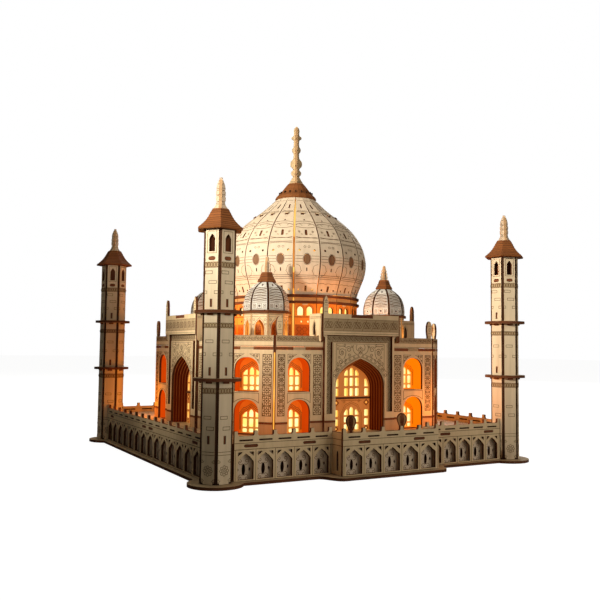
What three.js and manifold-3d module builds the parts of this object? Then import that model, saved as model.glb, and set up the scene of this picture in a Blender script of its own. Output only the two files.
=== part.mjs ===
// Domed mausoleum with four minarets: a miniature landmark cut from thin plywood and lit from inside.
// Millimetres, +Z up. The origin is the middle of the underside, and the front faces -Y.
// The plan repeats four times, so one quarter is drawn at the front and front left and then turned.
import * as THREE from 'three';
import { mergeVertices } from 'three/addons/utils/BufferGeometryUtils.js';
import Module from 'manifold-3d';

const wasm = await Module();
wasm.setup();

// ---- driving dimensions ----
const PLY = 2;                    // one sheet of plywood
const GAP = 0.3;                  // clearance left between neighbouring pieces
const EMBED = 0.5;                // how far a glued board runs into its neighbour before the join

const MINARET_AT = 125;           // minaret axes, from the middle along X and Y
const MINARET_R = 11.75;          // hexagonal shaft, over its corners
const MINARET_TOP = 162;
const BALCONY_R = 15.5;
const BALCONIES = { lower: 65.9, upper: 108.8 };
const ROOF_R = 15.2;
const ROOF_TIP = 176.4;
const MINARET_TIP = 197.5;

const BASE = { side: 134, centre: 148.5, bulge: 44, swing: 11, disc: 18 };
const WALL = { side: 129.7, centre: 143.2, half: 41, end: 114.4, foot: PLY + GAP, top: 30.7 };
const MERLON = { width: 2.2, height: 3 };
const BAYS = 5;                   // in each of the front's three screens
const LONG_BAYS = 14;             // in the one screen of every other side
const BACKING = 3.6;              // the backing wall's face, behind the arcade's face
const NOTCH = { end: 112.9, cut: 121.8 };  // the plinth's corner, cut back around a minaret
const DECK = { bottom: 23.4, top: 25.4 };

const TREE = { x: 22.3, y: -124.2, turn: 30 };

const HALL = { face: 100.65, corner: 71.27, inner: 31.5, foot: DECK.top + GAP, top: 96.3 };
const CHAMFER_FACE = (HALL.face + HALL.corner) / Math.SQRT2;
const CHAMFER_HALF = (HALL.face - HALL.corner) / Math.SQRT2;
const NICHE = { half: 9.25, spring: 15.4, rise: 24.6, depth: 11.5, wall: 1.6, at: 51.3 };
const NICHE_FLOORS = { lower: HALL.foot, upper: 56.1 };
const WINDOW = { half: 6.7, spring: 11, rise: 16.6, sill: 0.8 };
const PINNACLE = { width: 3.6, height: 13.6, inset: 0.9 };

const PORTAL = { half: 31.2, face: HALL.face + PLY + GAP, top: 112.9, shoulder: 97.4 };
const PORTAL_ARCH = { half: 22.6, spring: 64.5, rise: 80.2, layers: 5, step: 1 };
const CORNICE_HALF = 33.8;
const BAND = { inner: 24.8, outer: 29.4, foot: 40, shoulder: 92 };
const SPIRE = { width: 4, height: 13.2 };
const ROOF = { bottom: 86.2, top: 88.2, well: 48 };

const GORES = 18;
const DRUM = { r: 54.7, foot: ROOF.top + GAP, top: 130.3 };
const DOME_FOOT = DRUM.top + GAP;
const DOME_TOP = 218.6;
const FINIAL_FOOT = 231.7;

const KIOSK = { at: 55.6, r: 17.5, foot: ROOF.top + GAP, eave: 113.4, shelf: 19.2, sides: 8 };
const KIOSK_DOME_FOOT = KIOSK.eave + PLY + GAP;

const BATTERY = { length: 68, width: 52, height: 18, wall: 2, switchBay: 11 };
const LID = { length: 63.4, width: 45.4, bottom: 0.6, thick: 1.2, travel: 22 };
const KNOB = { size: 4, travel: 3, at: -(BATTERY.length + BATTERY.switchBay) / 2 };

// ---- finishes ----
const FINISHES = {
  basswood: { color: 0xe6cfa4, roughness: 0.72, metalness: 0 },
  edge_wood: { color: 0x6b3f20, roughness: 0.7, metalness: 0 },
  walnut: { color: 0x7e4526, roughness: 0.62, metalness: 0 },
  black_plastic: { color: 0x1c1c1e, roughness: 0.5, metalness: 0 },
  lamp_lens: { color: 0xffe2a0, roughness: 0.3, metalness: 0 },
};

// ---- solids ----
const toSolid = (geometry) => {
  const bare = geometry.clone();
  bare.deleteAttribute('normal');
  bare.deleteAttribute('uv');
  const merged = mergeVertices(bare, 1e-4);
  return new wasm.Manifold(new wasm.Mesh({
    numProp: 3,
    vertProperties: new Float32Array(merged.attributes.position.array),
    triVerts: new Uint32Array(merged.index.array),
  }));
};

const toGeometry = (solid) => {
  const mesh = solid.getMesh();
  const geometry = new THREE.BufferGeometry();
  geometry.setAttribute('position', new THREE.BufferAttribute(mesh.vertProperties, 3));
  geometry.setIndex(new THREE.BufferAttribute(mesh.triVerts, 1));
  return geometry;
};

const join = (solids) => solids.reduce((sum, next) => sum.add(next));
const cut = (solid, cutters) => cutters.reduce((rest, next) => rest.subtract(next), solid);

const outline = (points) => new THREE.Shape(points.map(([x, y]) => new THREE.Vector2(x, y)));
const rectangle = (x0, y0, x1, y1) => outline([[x0, y0], [x1, y0], [x1, y1], [x0, y1]]);

// A symmetric cut-out from half widths listed up its height, as [height, half width].
const profile = (rows, x = 0) => outline([
  ...rows.map(([y, w]) => [x + w, y]),
  ...rows.slice().reverse().filter(([, w]) => w > 0).map(([y, w]) => [x - w, y]),
]);

// A pointed arch opening standing on its sill.
const arch = (x, sill, half, spring, apex) => {
  const shape = new THREE.Shape();
  const rise = apex - spring;
  shape.moveTo(x - half, sill);
  shape.lineTo(x + half, sill);
  shape.lineTo(x + half, spring);
  shape.bezierCurveTo(x + half, spring + rise * 0.55, x + half * 0.5, apex - rise * 0.15, x, apex);
  shape.bezierCurveTo(x - half * 0.5, apex - rise * 0.15, x - half, spring + rise * 0.55, x - half, spring);
  return shape;
};

const prism = (shape, depth, curveSegments = 4) => (
  new THREE.ExtrudeGeometry(shape, { depth, bevelEnabled: false, curveSegments })
);

// A level plate from z = bottom, and an upright board whose outer face looks along the angle.
const plate = (shape, bottom, thick) => prism(shape, thick).translate(0, 0, bottom);
const board = (shape, face, thick = PLY, angle = -90, curveSegments = 4) => {
  const turn = THREE.MathUtils.degToRad(angle);
  const out = new THREE.Vector3(Math.cos(turn), Math.sin(turn), 0);
  const up = new THREE.Vector3(0, 0, 1);
  const along = new THREE.Vector3().crossVectors(up, out);
  const geometry = prism(shape, thick, curveSegments).translate(0, 0, face - thick);
  return geometry.applyMatrix4(new THREE.Matrix4().makeBasis(along, up, out));
};

// A solid of revolution about Z with flat sides, one corner at the given angle.
const revolve = (rows, sides, corner = 0) => {
  const points = rows.map(([r, z]) => new THREE.Vector2(r, z));
  return new THREE.LatheGeometry(points, sides)
    .rotateX(Math.PI / 2)
    .rotateZ(Math.PI / 2 + THREE.MathUtils.degToRad(corner));
};

// An outline from its front quarter and, where they differ, the quarter that the other three sides repeat.
const quarterTurns = (points, others = points) => [0, 1, 2, 3].flatMap((k) => (
  (k ? others : points).map(([x, y]) => [[x, y], [-y, x], [-x, -y], [y, -x]][k])
));

// ---- scene graph: lengths below are from the dome's axis, and the plan is moved to centre the whole ----
const model = new THREE.Group();
const plan = new THREE.Group();
plan.position.y = (BASE.centre - MINARET_AT - BASE.disc) / 2;
model.add(plan);
const SIDES = ['front', 'right', 'back', 'left'];
const CORNERS = ['front_left', 'front_right', 'back_right', 'back_left'];
const quarters = SIDES.map((side, k) => {
  const quarter = new THREE.Group();
  quarter.rotation.z = k * Math.PI / 2;
  plan.add(quarter);
  return quarter;
});

const add = (parent, name, geometry, finish) => {
  const mesh = new THREE.Mesh(geometry, new THREE.MeshStandardMaterial(FINISHES[finish]));
  mesh.name = name;
  parent.add(mesh);
};

// ---- base plate: straight edges, a swelling under the front's projecting bay and a disc under each minaret ----
const baseSide = (bay) => {
  const reach = Math.sqrt(BASE.disc ** 2 - (BASE.side - MINARET_AT) ** 2);
  const mid = BASE.bulge + BASE.swing / 2;
  const far = BASE.bulge + BASE.swing;
  const path = new THREE.Path();
  path.moveTo(reach - MINARET_AT, -BASE.side);
  if (bay) {
    path.lineTo(-far, -BASE.side);
    path.bezierCurveTo(-mid, -BASE.side, -mid, -BASE.centre, -BASE.bulge + 3, -BASE.centre);
    path.lineTo(BASE.bulge - 3, -BASE.centre);
    path.bezierCurveTo(mid, -BASE.centre, mid, -BASE.side, far, -BASE.side);
  }
  path.lineTo(MINARET_AT - reach, -BASE.side);
  const start = Math.atan2(MINARET_AT - BASE.side, -reach);
  const end = Math.atan2(reach, BASE.side - MINARET_AT);
  path.absarc(MINARET_AT, -MINARET_AT, BASE.disc, start, end, false);
  const points = path.getPoints(5).map((p) => [p.x, p.y]);
  return points.slice(0, -1);
};

const baseShape = outline(quarterTurns(baseSide(true), baseSide(false)));
const hatch = {
  x0: -LID.length / 2 - GAP - 1, x1: LID.length / 2 + LID.travel + 1, y: LID.width / 2 + GAP,
};
const baseHoles = [
  rectangle(hatch.x0, -hatch.y, hatch.x1, hatch.y), rectangle(KNOB.at - 4, -7, KNOB.at + 3.2, 7),
].map((shape) => toSolid(plate(shape, -1, PLY + 2)));
add(plan, 'base_plate', toGeometry(cut(toSolid(plate(baseShape, 0, PLY)), baseHoles)), 'edge_wood');

// ---- plinth: backing wall, deck and arcade screens ----
// The front of the plinth's plan is side wall, projecting bay, side wall; every side ends in a minaret's notch.
const plinthPlan = (inset, extra = 0) => {
  const side = WALL.side - inset;
  const centre = WALL.centre - inset;
  const half = WALL.half - inset;
  const end = NOTCH.end - extra;
  const cutBack = NOTCH.cut - extra * 0.42;
  const corner = [[end, -side], [end, -cutBack], [cutBack, -end]];
  return quarterTurns([
    [-end, -side], [-half, -side], [-half, -centre], [half, -centre], [half, -side], ...corner,
  ], [[-end, -side], ...corner]);
};
const backing = outline(plinthPlan(BACKING));
backing.holes.push(outline(plinthPlan(BACKING + PLY, PLY)));
add(plan, 'plinth_backing_wall', plate(backing, WALL.foot, DECK.bottom - GAP - WALL.foot), 'basswood');
add(plan, 'deck', plate(outline(plinthPlan(PLY + GAP)), DECK.bottom, DECK.top - DECK.bottom), 'basswood');

// A screen: bays of pointed openings under a parapet with a merlon at every bay line.
const screen = (x0, x1, face, bays = BAYS) => {
  const pitch = (x1 - x0 - MERLON.width) / bays;
  const first = x0 + MERLON.width / 2;
  const w = MERLON.width / 2;
  const low = WALL.top;
  const high = WALL.top + MERLON.height;
  const points = [[x1, WALL.foot], [x1, high], [x1 - 2 * w, high], [x1 - 2 * w, low]];
  for (let bay = bays - 1; bay > 0; bay -= 1) {
    const x = first + bay * pitch;
    points.push([x + w, low], [x + w, high], [x - w, high], [x - w, low]);
  }
  points.push([x0 + 2 * w, low], [x0 + 2 * w, high], [x0, high], [x0, WALL.foot]);
  const openings = [];
  for (let bay = 0; bay < bays; bay += 1) {
    const half = pitch / 2 - 1.45;
    const rows = [[WALL.foot + 0.6, half], [15, half], [17.4, half * 0.5], [19.5, 0]];
    openings.push(toSolid(board(profile(rows, first + (bay + 0.5) * pitch), face + 1, PLY + 2)));
  }
  return cut(toSolid(board(outline(points), face)), openings);
};

const sideScreen = screen(-WALL.end, -WALL.half - GAP, WALL.side);
const farScreen = screen(WALL.half + GAP, WALL.end, WALL.side);
// The projecting bay's screen is glued to its two returns, each with a narrow slit.
const returnSlit = profile([[5, 1.1], [16.5, 1.1], [18.5, 0]], (WALL.side + WALL.centre) / 2);
const returnShape = rectangle(WALL.side - PLY, WALL.foot, WALL.centre - EMBED, WALL.top);
returnShape.holes.push(returnSlit);
const returnBoard = toSolid(board(returnShape, WALL.half, PLY, 0)).mirror([0, 1, 0]);
const bayScreen = join([
  screen(-WALL.half, WALL.half, WALL.centre), returnBoard, returnBoard.mirror([1, 0, 0]),
]);

add(quarters[0], 'front_arcade_left', toGeometry(sideScreen), 'basswood');
add(quarters[0], 'front_arcade_centre', toGeometry(bayScreen), 'basswood');
add(quarters[0], 'front_arcade_right', toGeometry(farScreen), 'basswood');
const longScreen = screen(-WALL.end, WALL.end, WALL.side, LONG_BAYS);
SIDES.slice(1).forEach((side, k) => {
  add(quarters[k + 1], `${side}_arcade`, toGeometry(longScreen), 'basswood');
});

// Two small trees on the projecting bay, each of two crossed boards.
const treeShape = profile([
  [DECK.top + GAP, 1.9], [30.6, 1.8], [31.8, 2.2], [34, 3.2], [36, 3.7], [37.8, 3.6], [39.2, 2.8], [40.2, 1.6], [40.6, 0.8],
]);
const treeBoard = toSolid(board(treeShape, PLY / 2));
const tree = join([treeBoard.rotate([0, 0, -TREE.turn]), treeBoard.rotate([0, 0, 90 - TREE.turn])]);
[['left', -1], ['right', 1]].forEach(([hand, sign]) => {
  add(quarters[0], `front_tree_${hand}`, toGeometry(tree.translate([sign * TREE.x, TREE.y, 0])), 'basswood');
});

// ---- hall: corner walls with two floors of niches, and the portals between them ----
const pinnacle = (x) => profile([
  [HALL.top - EMBED, PINNACLE.width / 2], [HALL.top + 6, PINNACLE.width / 2],
  [HALL.top + 11.4, PINNACLE.width / 4], [HALL.top + PINNACLE.height, 0],
], x);

// A niche is a box behind the wall with an arched mouth and a window in its back.
const niche = (x, floor, face, angle) => {
  const bottom = floor === HALL.foot ? floor : floor - NICHE.wall;
  const w = NICHE.half + NICHE.wall;
  const back = face - NICHE.depth;
  const box = rectangle(x - w, bottom, x + w, floor + NICHE.rise + NICHE.wall);
  const mouth = arch(x, floor, NICHE.half, floor + NICHE.spring, floor + NICHE.rise);
  const sill = floor + WINDOW.sill;
  const light = arch(x, sill, WINDOW.half, sill + WINDOW.spring, sill + WINDOW.rise);
  return {
    box: toSolid(board(box, face - EMBED, NICHE.depth + PLY - EMBED, angle)),
    mouth: toSolid(board(mouth, face + 1, face + 1 - back, angle, 3)),
    light: toSolid(board(light, back + 1, PLY + 2, angle, 2)),
  };
};

const cornerWall = () => {
  const outer = [[-HALL.inner, -HALL.face], [-HALL.corner, -HALL.face]];
  const shift = PLY * Math.tan(Math.PI / 8);
  const inner = [[-HALL.corner + shift, PLY - HALL.face], [-HALL.inner, PLY - HALL.face]];
  const swap = ([x, y]) => [y, x];
  const plan = outline([
    ...outer, ...outer.slice().reverse().map(swap), ...inner.slice().reverse().map(swap), ...inner,
  ].reverse());
  const shell = toSolid(plate(plan, HALL.foot, HALL.top - HALL.foot));
  const faces = [[-NICHE.at, HALL.face, -90], [0, CHAMFER_FACE, -135], [NICHE.at, HALL.face, 180]];
  const niches = faces.flatMap(([x, face, angle]) => (
    Object.values(NICHE_FLOORS).map((floor) => niche(x, floor, face, angle))
  ));
  const end = PINNACLE.width / 2 + PINNACLE.inset;
  const points = [
    [-HALL.corner + end, HALL.face, -90], [CHAMFER_HALF - end, CHAMFER_FACE, -135],
    [end - CHAMFER_HALF, CHAMFER_FACE, -135], [HALL.corner - end, HALL.face, 180],
  ].map(([x, face, angle]) => toSolid(board(pinnacle(x), face, PLY, angle)));
  const whole = join([shell, ...niches.map((n) => n.box), ...points]);
  return cut(whole, niches.flatMap((n) => [n.mouth, n.light]));
};

// The side panel of a portal's raised block hooks over the hall's parapet.
const blockReturn = () => {
  const back = 87.2;
  const hook = PORTAL.face + 1.2;
  const shape = outline([
    [back, DRUM.foot], [HALL.face - PLY - GAP, DRUM.foot], [HALL.face - PLY - GAP, HALL.top + GAP],
    [HALL.face + GAP, HALL.top + GAP], [HALL.face + GAP, 93.4], [hook - 1.4, 92], [hook, 93.4],
    [hook, PORTAL.top - 0.8], [hook - 1.4, PORTAL.top], [back, PORTAL.top],
  ]);
  shape.holes.push(profile([[HALL.top + 1.2, 2.3], [103.6, 2.3], [106.4, 1.3], [107.4, 0]], 94));
  return shape;
};

const portal = (rightSpire) => {
  const spireRows = (x) => profile([
    [PORTAL.top - EMBED, SPIRE.width / 2 - 0.4], [PORTAL.top + 6.4, SPIRE.width / 2],
    [PORTAL.top + 10.8, SPIRE.width / 4], [PORTAL.top + SPIRE.height, 0],
  ], x);
  const front = outline([
    [-PORTAL.half, HALL.foot], [PORTAL.half, HALL.foot], [PORTAL.half, PORTAL.shoulder - 2],
    [CORNICE_HALF, PORTAL.shoulder], [CORNICE_HALF, PORTAL.top], [-CORNICE_HALF, PORTAL.top],
    [-CORNICE_HALF, PORTAL.shoulder], [-PORTAL.half, PORTAL.shoulder - 2],
  ]);
  // A sunk band runs up one side of the arch panel, over it and down the other, one sheet deep.
  const { inner, outer, foot, shoulder } = BAND;
  const band = outline([
    [-outer, foot], [-inner, foot], [-inner, shoulder], [inner, shoulder], [inner, foot], [outer, foot],
    [outer, PORTAL.shoulder - 0.2], [-outer, PORTAL.shoulder - 0.2],
  ]);
  const openings = [toSolid(board(band, PORTAL.face + 1, PLY + 1))];
  const solids = [toSolid(board(front, PORTAL.face))];
  const cornice = rectangle(-CORNICE_HALF, PORTAL.shoulder, CORNICE_HALF, PORTAL.top);
  solids.push(toSolid(board(cornice, PORTAL.face + PLY, PLY + EMBED)));
  const spireAt = CORNICE_HALF - SPIRE.width / 2;
  (rightSpire ? [-spireAt, spireAt] : [-spireAt]).forEach((x) => {
    solids.push(toSolid(board(spireRows(x), PORTAL.face + PLY)));
  });
  // Stacked arches step inwards to the back panel.
  const layersFace = PORTAL.face - PLY;
  const depth = PORTAL_ARCH.layers * PLY;
  const bandBack = rectangle(-PORTAL.half, foot - 2, PORTAL.half, PORTAL.shoulder + 1);
  solids.push(toSolid(board(bandBack, layersFace + EMBED, PLY + EMBED)));
  const stack = rectangle(-26, HALL.foot, 26, ROOF.bottom - GAP);
  solids.push(toSolid(board(stack, layersFace + EMBED, depth + PLY + EMBED)));
  // The raised block behind the cornice: two side panels and a back.
  const side = toSolid(board(blockReturn(), CORNICE_HALF + PLY - EMBED, PLY, 0)).mirror([0, 1, 0]);
  const rear = rectangle(-CORNICE_HALF, DRUM.foot, CORNICE_HALF, PORTAL.top);
  solids.push(side, side.mirror([1, 0, 0]), toSolid(board(rear, 90.2)));
  for (let k = 0; k <= PORTAL_ARCH.layers; k += 1) {
    const step = k * PORTAL_ARCH.step;
    const half = PORTAL_ARCH.half - step;
    const shape = arch(0, HALL.foot - 1, half, PORTAL_ARCH.spring - step * 0.3, PORTAL_ARCH.rise - step);
    const near = k === 0 ? PORTAL.face + PLY + 1 : layersFace - (k - 1) * PLY;
    const far = layersFace - k * PLY;
    openings.push(toSolid(board(shape, near, near - far, -90, 4)));
  }
  const back = layersFace - depth + 1;
  const lights = [arch(0, HALL.foot + 2, 7, 43, 49.5), arch(0, 56, 7, 67, 74)];
  lights.forEach((shape) => openings.push(toSolid(board(shape, back, PLY + 2, -90, 3))));
  return cut(join(solids), openings);
};

const wallSolid = cornerWall();
const portalSolid = portal(true);
SIDES.forEach((side, k) => {
  add(quarters[k], `${CORNERS[k]}_hall_wall`, toGeometry(wallSolid), 'basswood');
  add(quarters[k], `${side}_portal`, toGeometry(k === 0 ? portal(false) : portalSolid), 'basswood');
});

// ---- roof plate, drum, dome, cap and finial ----
const roofEdge = HALL.face - PLY - GAP;
const roofCorner = HALL.corner + GAP - 1.2;
const roofShape = outline(quarterTurns([[-roofCorner, -roofEdge], [roofCorner, -roofEdge]]));
roofShape.holes.push(new THREE.Path().absarc(0, 0, ROOF.well, 0, Math.PI * 2));
add(plan, 'roof_plate', plate(roofShape, ROOF.bottom, ROOF.top - ROOF.bottom), 'basswood');

const drumRing = DRUM.r + 1.8;
const drumShell = toSolid(revolve([
  [DRUM.r - PLY, DRUM.foot], [DRUM.r, DRUM.foot], [DRUM.r, 123.3], [drumRing, 123.3],
  [drumRing, 125.3], [DRUM.r, 125.3], [DRUM.r, 128.3], [drumRing, 128.3],
  [drumRing, DRUM.top], [DRUM.r - PLY, DRUM.top], [DRUM.r - PLY, DRUM.foot],
], GORES));
const drumLights = [];
for (let side = 0; side < GORES; side += 1) {
  const angle = (side + 0.5) * 360 / GORES;
  [-3.7, 3.7].forEach((x) => {
    const light = profile([[112.1, 2.6], [116.9, 2.6], [119, 1.7], [119.6, 0]], x);
    drumLights.push(toSolid(board(light, DRUM.r + 1, PLY + 4, angle)));
  });
}
add(plan, 'drum', toGeometry(cut(drumShell, [join(drumLights)])), 'basswood');

const domeCurve = new THREE.SplineCurve([
  [54.3, DOME_FOOT], [55.6, 135], [58.3, 142], [60.7, 148.4], [62.1, 156], [61.9, 163], [58.8, 174.3],
  [51.8, 185.8], [43.8, 194], [34.9, 201.2], [26.8, 207.8], [15.4, DOME_TOP],
].map(([r, z]) => new THREE.Vector2(r, z)));
const domeOuter = domeCurve.getPoints(14);
const domeInner = domeOuter.map((point, k) => {
  const along = domeCurve.getTangent(k / (domeOuter.length - 1));
  return new THREE.Vector2(point.x - along.y * PLY, point.y + along.x * PLY);
});
domeInner[0].y = DOME_FOOT;
domeInner[domeInner.length - 1].set(domeOuter[domeOuter.length - 1].x - PLY, DOME_TOP);
const domeRows = [...domeOuter, ...domeInner.reverse(), domeOuter[0]].map((p) => [p.x, p.y]);
add(plan, 'dome', revolve(domeRows, GORES), 'basswood');

const capFoot = DOME_TOP + GAP;
add(plan, 'dome_cap', revolve([
  [0, capFoot], [17, capFoot], [17.2, capFoot + 1.6], [13.6, capFoot + 4.6], [10.2, capFoot + 8.6],
  [6.8, FINIAL_FOOT - GAP], [0, FINIAL_FOOT - GAP],
], GORES), 'walnut');

const finialRows = [
  [237.6, 2.4], [239.6, 3.4], [241.2, 4.5], [243.4, 3.4], [245, 2.6], [246.6, 3.9], [249.5, 5.2],
  [252.5, 3.8], [254.5, 2.7], [258.8, 2.5], [262, 3.9], [265, 2.5], [271.2, 2.6], [272.9, 4.5],
  [274.5, 2.4], [279.5, 2.6], [282, 1.6], [283.4, 0],
];
const finialFoot = revolve([
  [0, FINIAL_FOOT], [6.4, FINIAL_FOOT], [2.7, 238.3], [0, 238.3],
], 6, 30);
const finialBoard = board(profile(finialRows), PLY / 2);
add(plan, 'dome_finial', toGeometry(join([toSolid(finialFoot), toSolid(finialBoard)])), 'basswood');

// ---- a roof kiosk at each diagonal: pavilion with eight openings, shelf, ribbed dome and finial ----
const kioskShell = () => {
  const corner = 180 / KIOSK.sides;
  const inner = KIOSK.r - PLY;
  const shell = revolve([
    [inner, KIOSK.foot], [KIOSK.r, KIOSK.foot], [KIOSK.r, KIOSK.eave], [KIOSK.shelf, KIOSK.eave],
    [KIOSK.shelf, KIOSK.eave + PLY], [inner, KIOSK.eave + PLY], [inner, KIOSK.foot],
  ], KIOSK.sides, corner);
  const door = profile([[KIOSK.foot + 3, 3.8], [103.4, 3.8], [106.4, 2.4], [108.4, 0]]);
  const doors = [];
  for (let side = 0; side < KIOSK.sides; side += 1) {
    doors.push(toSolid(board(door, KIOSK.r + 1, PLY + 4, side * 360 / KIOSK.sides)));
  }
  return cut(toSolid(shell), doors);
};

const kioskDome = () => {
  const foot = KIOSK_DOME_FOOT;
  const shell = revolve([
    [16.3, foot], [18.2, foot], [18.4, 120], [17.7, 124.6], [15.2, 130.4], [11.4, 135], [6.6, 137.8],
    [6.8, 139], [5.2, 141.6], [3.9, 145.5], [0, 145.5], [0, 136.4], [6, 135.6], [10.4, 132.8],
    [13.6, 129], [15.9, 123.8], [16.4, 120], [16.3, foot],
  ], KIOSK.sides, 180 / KIOSK.sides);
  const rows = [
    [145, 2.3], [147, 2.5], [148, 1.8], [149.6, 2.4], [151, 1.7], [152.6, 2.2], [154, 1.6],
    [156.4, 1.4], [158, 0],
  ];
  const upright = toSolid(board(profile(rows), PLY / 2));
  return join([toSolid(shell), upright, toSolid(board(profile(rows), PLY / 2, PLY, 0))]);
};

const kiosk = kioskShell();
const kioskTop = kioskDome();
CORNERS.forEach((corner, k) => {
  const place = new THREE.Group();
  place.position.set(-KIOSK.at, -KIOSK.at, 0);
  quarters[k].add(place);
  add(place, `${corner}_kiosk`, toGeometry(kiosk), 'basswood');
  add(place, `${corner}_kiosk_dome`, toGeometry(kioskTop), 'basswood');
});

// ---- minarets: hexagonal shaft with a lantern, two balconies, roof and finial ----
const HEX = 6;
const SHAFT_CORNER = 8;           // the shaft's flats stand 7 degrees off the plan's diagonal
const shaftSolid = () => {
  const inner = MINARET_R - PLY;
  const foot = PLY + GAP;
  const tube = revolve([
    [inner, foot], [MINARET_R, foot], [MINARET_R, MINARET_TOP], [inner, MINARET_TOP], [inner, foot],
  ], HEX, SHAFT_CORNER);
  const light = profile([[147.8, 2.1], [156, 2.1], [159.3, 0]]);
  const lights = [];
  for (let side = 0; side < HEX; side += 1) {
    lights.push(toSolid(board(light, MINARET_R, 5, SHAFT_CORNER + 30 + side * 60)));
  }
  return cut(toSolid(tube), lights);
};

const hexagon = (r) => {
  const points = [];
  for (let k = 0; k < HEX; k += 1) {
    const turn = THREE.MathUtils.degToRad(SHAFT_CORNER + 60 * k);
    points.push([r * Math.cos(turn), r * Math.sin(turn)]);
  }
  return outline(points);
};

const balconyShape = new THREE.Shape().absarc(0, 0, BALCONY_R, 0, Math.PI * 2);
balconyShape.holes.push(hexagon(MINARET_R + 0.4));
const balcony = (bottom) => prism(balconyShape, PLY, 5).translate(0, 0, bottom);

const roofFoot = MINARET_TOP + GAP;
const minaretRoof = revolve([
  [0, roofFoot], [ROOF_R, roofFoot], [ROOF_R, roofFoot + 0.9], [11.6, 165.6], [8.8, 169.1], [6.6, 173.3],
  [5.3, ROOF_TIP], [0, ROOF_TIP],
], HEX, SHAFT_CORNER);

const minaretFinial = () => {
  const foot = ROOF_TIP + GAP;
  const rows = [
    [foot, 4.9], [177.8, 4], [179.2, 3.2], [180.8, 2.8], [182.4, 3.1], [184.2, 3.2], [185.1, 2.8], [186, 3.1],
    [187.8, 3.1], [188.7, 2.7], [190.2, 2.9], [192.6, 2.5], [195, 1.6], [MINARET_TIP, 0],
  ];
  return join([-28, 62].map((turn) => toSolid(board(profile(rows), PLY / 2, PLY, turn))));
};

const shaft = shaftSolid();
const finial = minaretFinial();
CORNERS.forEach((corner, k) => {
  const place = new THREE.Group();
  place.position.set(-MINARET_AT, -MINARET_AT, 0);
  quarters[k].add(place);
  add(place, `${corner}_minaret_shaft`, toGeometry(shaft), 'basswood');
  add(place, `${corner}_lower_balcony`, balcony(BALCONIES.lower), 'edge_wood');
  add(place, `${corner}_upper_balcony`, balcony(BALCONIES.upper), 'edge_wood');
  add(place, `${corner}_minaret_roof`, minaretRoof.clone(), 'walnut');
  add(place, `${corner}_minaret_finial`, toGeometry(finial), 'basswood');
});

// ---- lighting inside: battery box with a sliding lid and switch, and the lamp on the deck ----
const batteryBox = () => {
  const foot = PLY + GAP;
  const halfL = BATTERY.length / 2;
  const halfW = BATTERY.width / 2;
  const block = (x0, y0, x1, y1, z0, z1) => toSolid(plate(rectangle(x0, y0, x1, y1), z0, z1 - z0));
  const body = join([
    block(-halfL, -halfW, halfL, halfW, foot, foot + BATTERY.height),
    block(-halfL - BATTERY.switchBay, -9, EMBED - halfL, 9, foot, foot + 9),
  ]);
  const w = BATTERY.wall;
  return cut(body, [
    block(w - halfL, w - halfW, halfL - w, halfW - w, foot - 1, foot + BATTERY.height - w),
    block(KNOB.at - 2.4, -5, KNOB.at + 2.4, 5, foot - 1, foot + 7),
  ]);
};
add(plan, 'battery_box', toGeometry(batteryBox()), 'black_plastic');

const lidPlate = plate(
  rectangle(-LID.length / 2 - 1, -LID.width / 2, LID.length / 2 - 1, LID.width / 2), LID.bottom, LID.thick,
);
add(plan, 'battery_lid', lidPlate, 'black_plastic');

const knobHalf = KNOB.size / 2;
const knobRest = -KNOB.travel / 2;
const knobPlate = plate(
  rectangle(KNOB.at - knobHalf, knobRest - knobHalf, KNOB.at + knobHalf, knobRest + knobHalf), 0.6, 5.4,
);
add(plan, 'switch_knob', knobPlate, 'black_plastic');

const lampFoot = DECK.top + GAP;
add(plan, 'led_lamp', revolve([
  [0, lampFoot], [9, lampFoot], [9, lampFoot + 2], [4.5, lampFoot + 2.4], [4, lampFoot + 6],
  [2.2, lampFoot + 8], [0, lampFoot + 8.4],
], 16), 'lamp_lens');

export default model;
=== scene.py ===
"""Visual model of the plywood mausoleum: every board, etched line and lit window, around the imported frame.

Lengths in this script are millimetres until a mesh is made, when they become metres.
"""

import math
from functools import partial

import bpy
from mathutils import Matrix, Vector
from mathutils.geometry import delaunay_2d_cdt


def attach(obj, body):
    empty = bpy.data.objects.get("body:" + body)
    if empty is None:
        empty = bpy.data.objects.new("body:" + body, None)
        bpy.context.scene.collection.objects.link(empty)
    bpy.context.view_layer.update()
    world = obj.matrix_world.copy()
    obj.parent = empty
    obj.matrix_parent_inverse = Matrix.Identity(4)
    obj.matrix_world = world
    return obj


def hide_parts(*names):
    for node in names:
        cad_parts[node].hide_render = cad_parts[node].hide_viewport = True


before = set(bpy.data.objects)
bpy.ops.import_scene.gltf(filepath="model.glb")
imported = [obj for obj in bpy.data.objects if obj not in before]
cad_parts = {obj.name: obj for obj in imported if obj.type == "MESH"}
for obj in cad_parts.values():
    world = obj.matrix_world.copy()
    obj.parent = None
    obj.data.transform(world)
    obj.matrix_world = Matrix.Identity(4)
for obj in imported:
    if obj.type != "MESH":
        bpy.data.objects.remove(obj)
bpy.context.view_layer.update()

MM = 0.001
AXIS_Y = 2.75  # the dome's axis stands this far behind the middle of the base
PLY = 2.0
BODY = "model"  # every new piece rides on the fixed body
GROOVE = -0.12  # how far below a face an etched line starts
INLAY = (0.03, 0.16)  # an inlay's lift above its face, and its thickness
MINARET_AT, MINARET_R = 125, 11.75  # the minarets' axes, and their corners' radius
KIOSK_AT, KIOSK_R = 55.6, 17.4
SCREEN, BAY_SCREEN = 129.7, 143.2  # the outer faces of the arcade screens
HALL_FOOT, ROOF_TOP = 25.7, 88.2
NICHE_HALF = 9.25
PORTAL_FACE = 102.95
SIDES = ("front", "right", "back", "left")
CORNERS = ("front_left", "front_right", "back_right", "back_left")


# ---------------------------------------------------------------- materials
def fill(made, sockets):
    """Set input sockets by name."""
    for name, value in sockets.items():
        made.inputs[name].default_value = value


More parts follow.
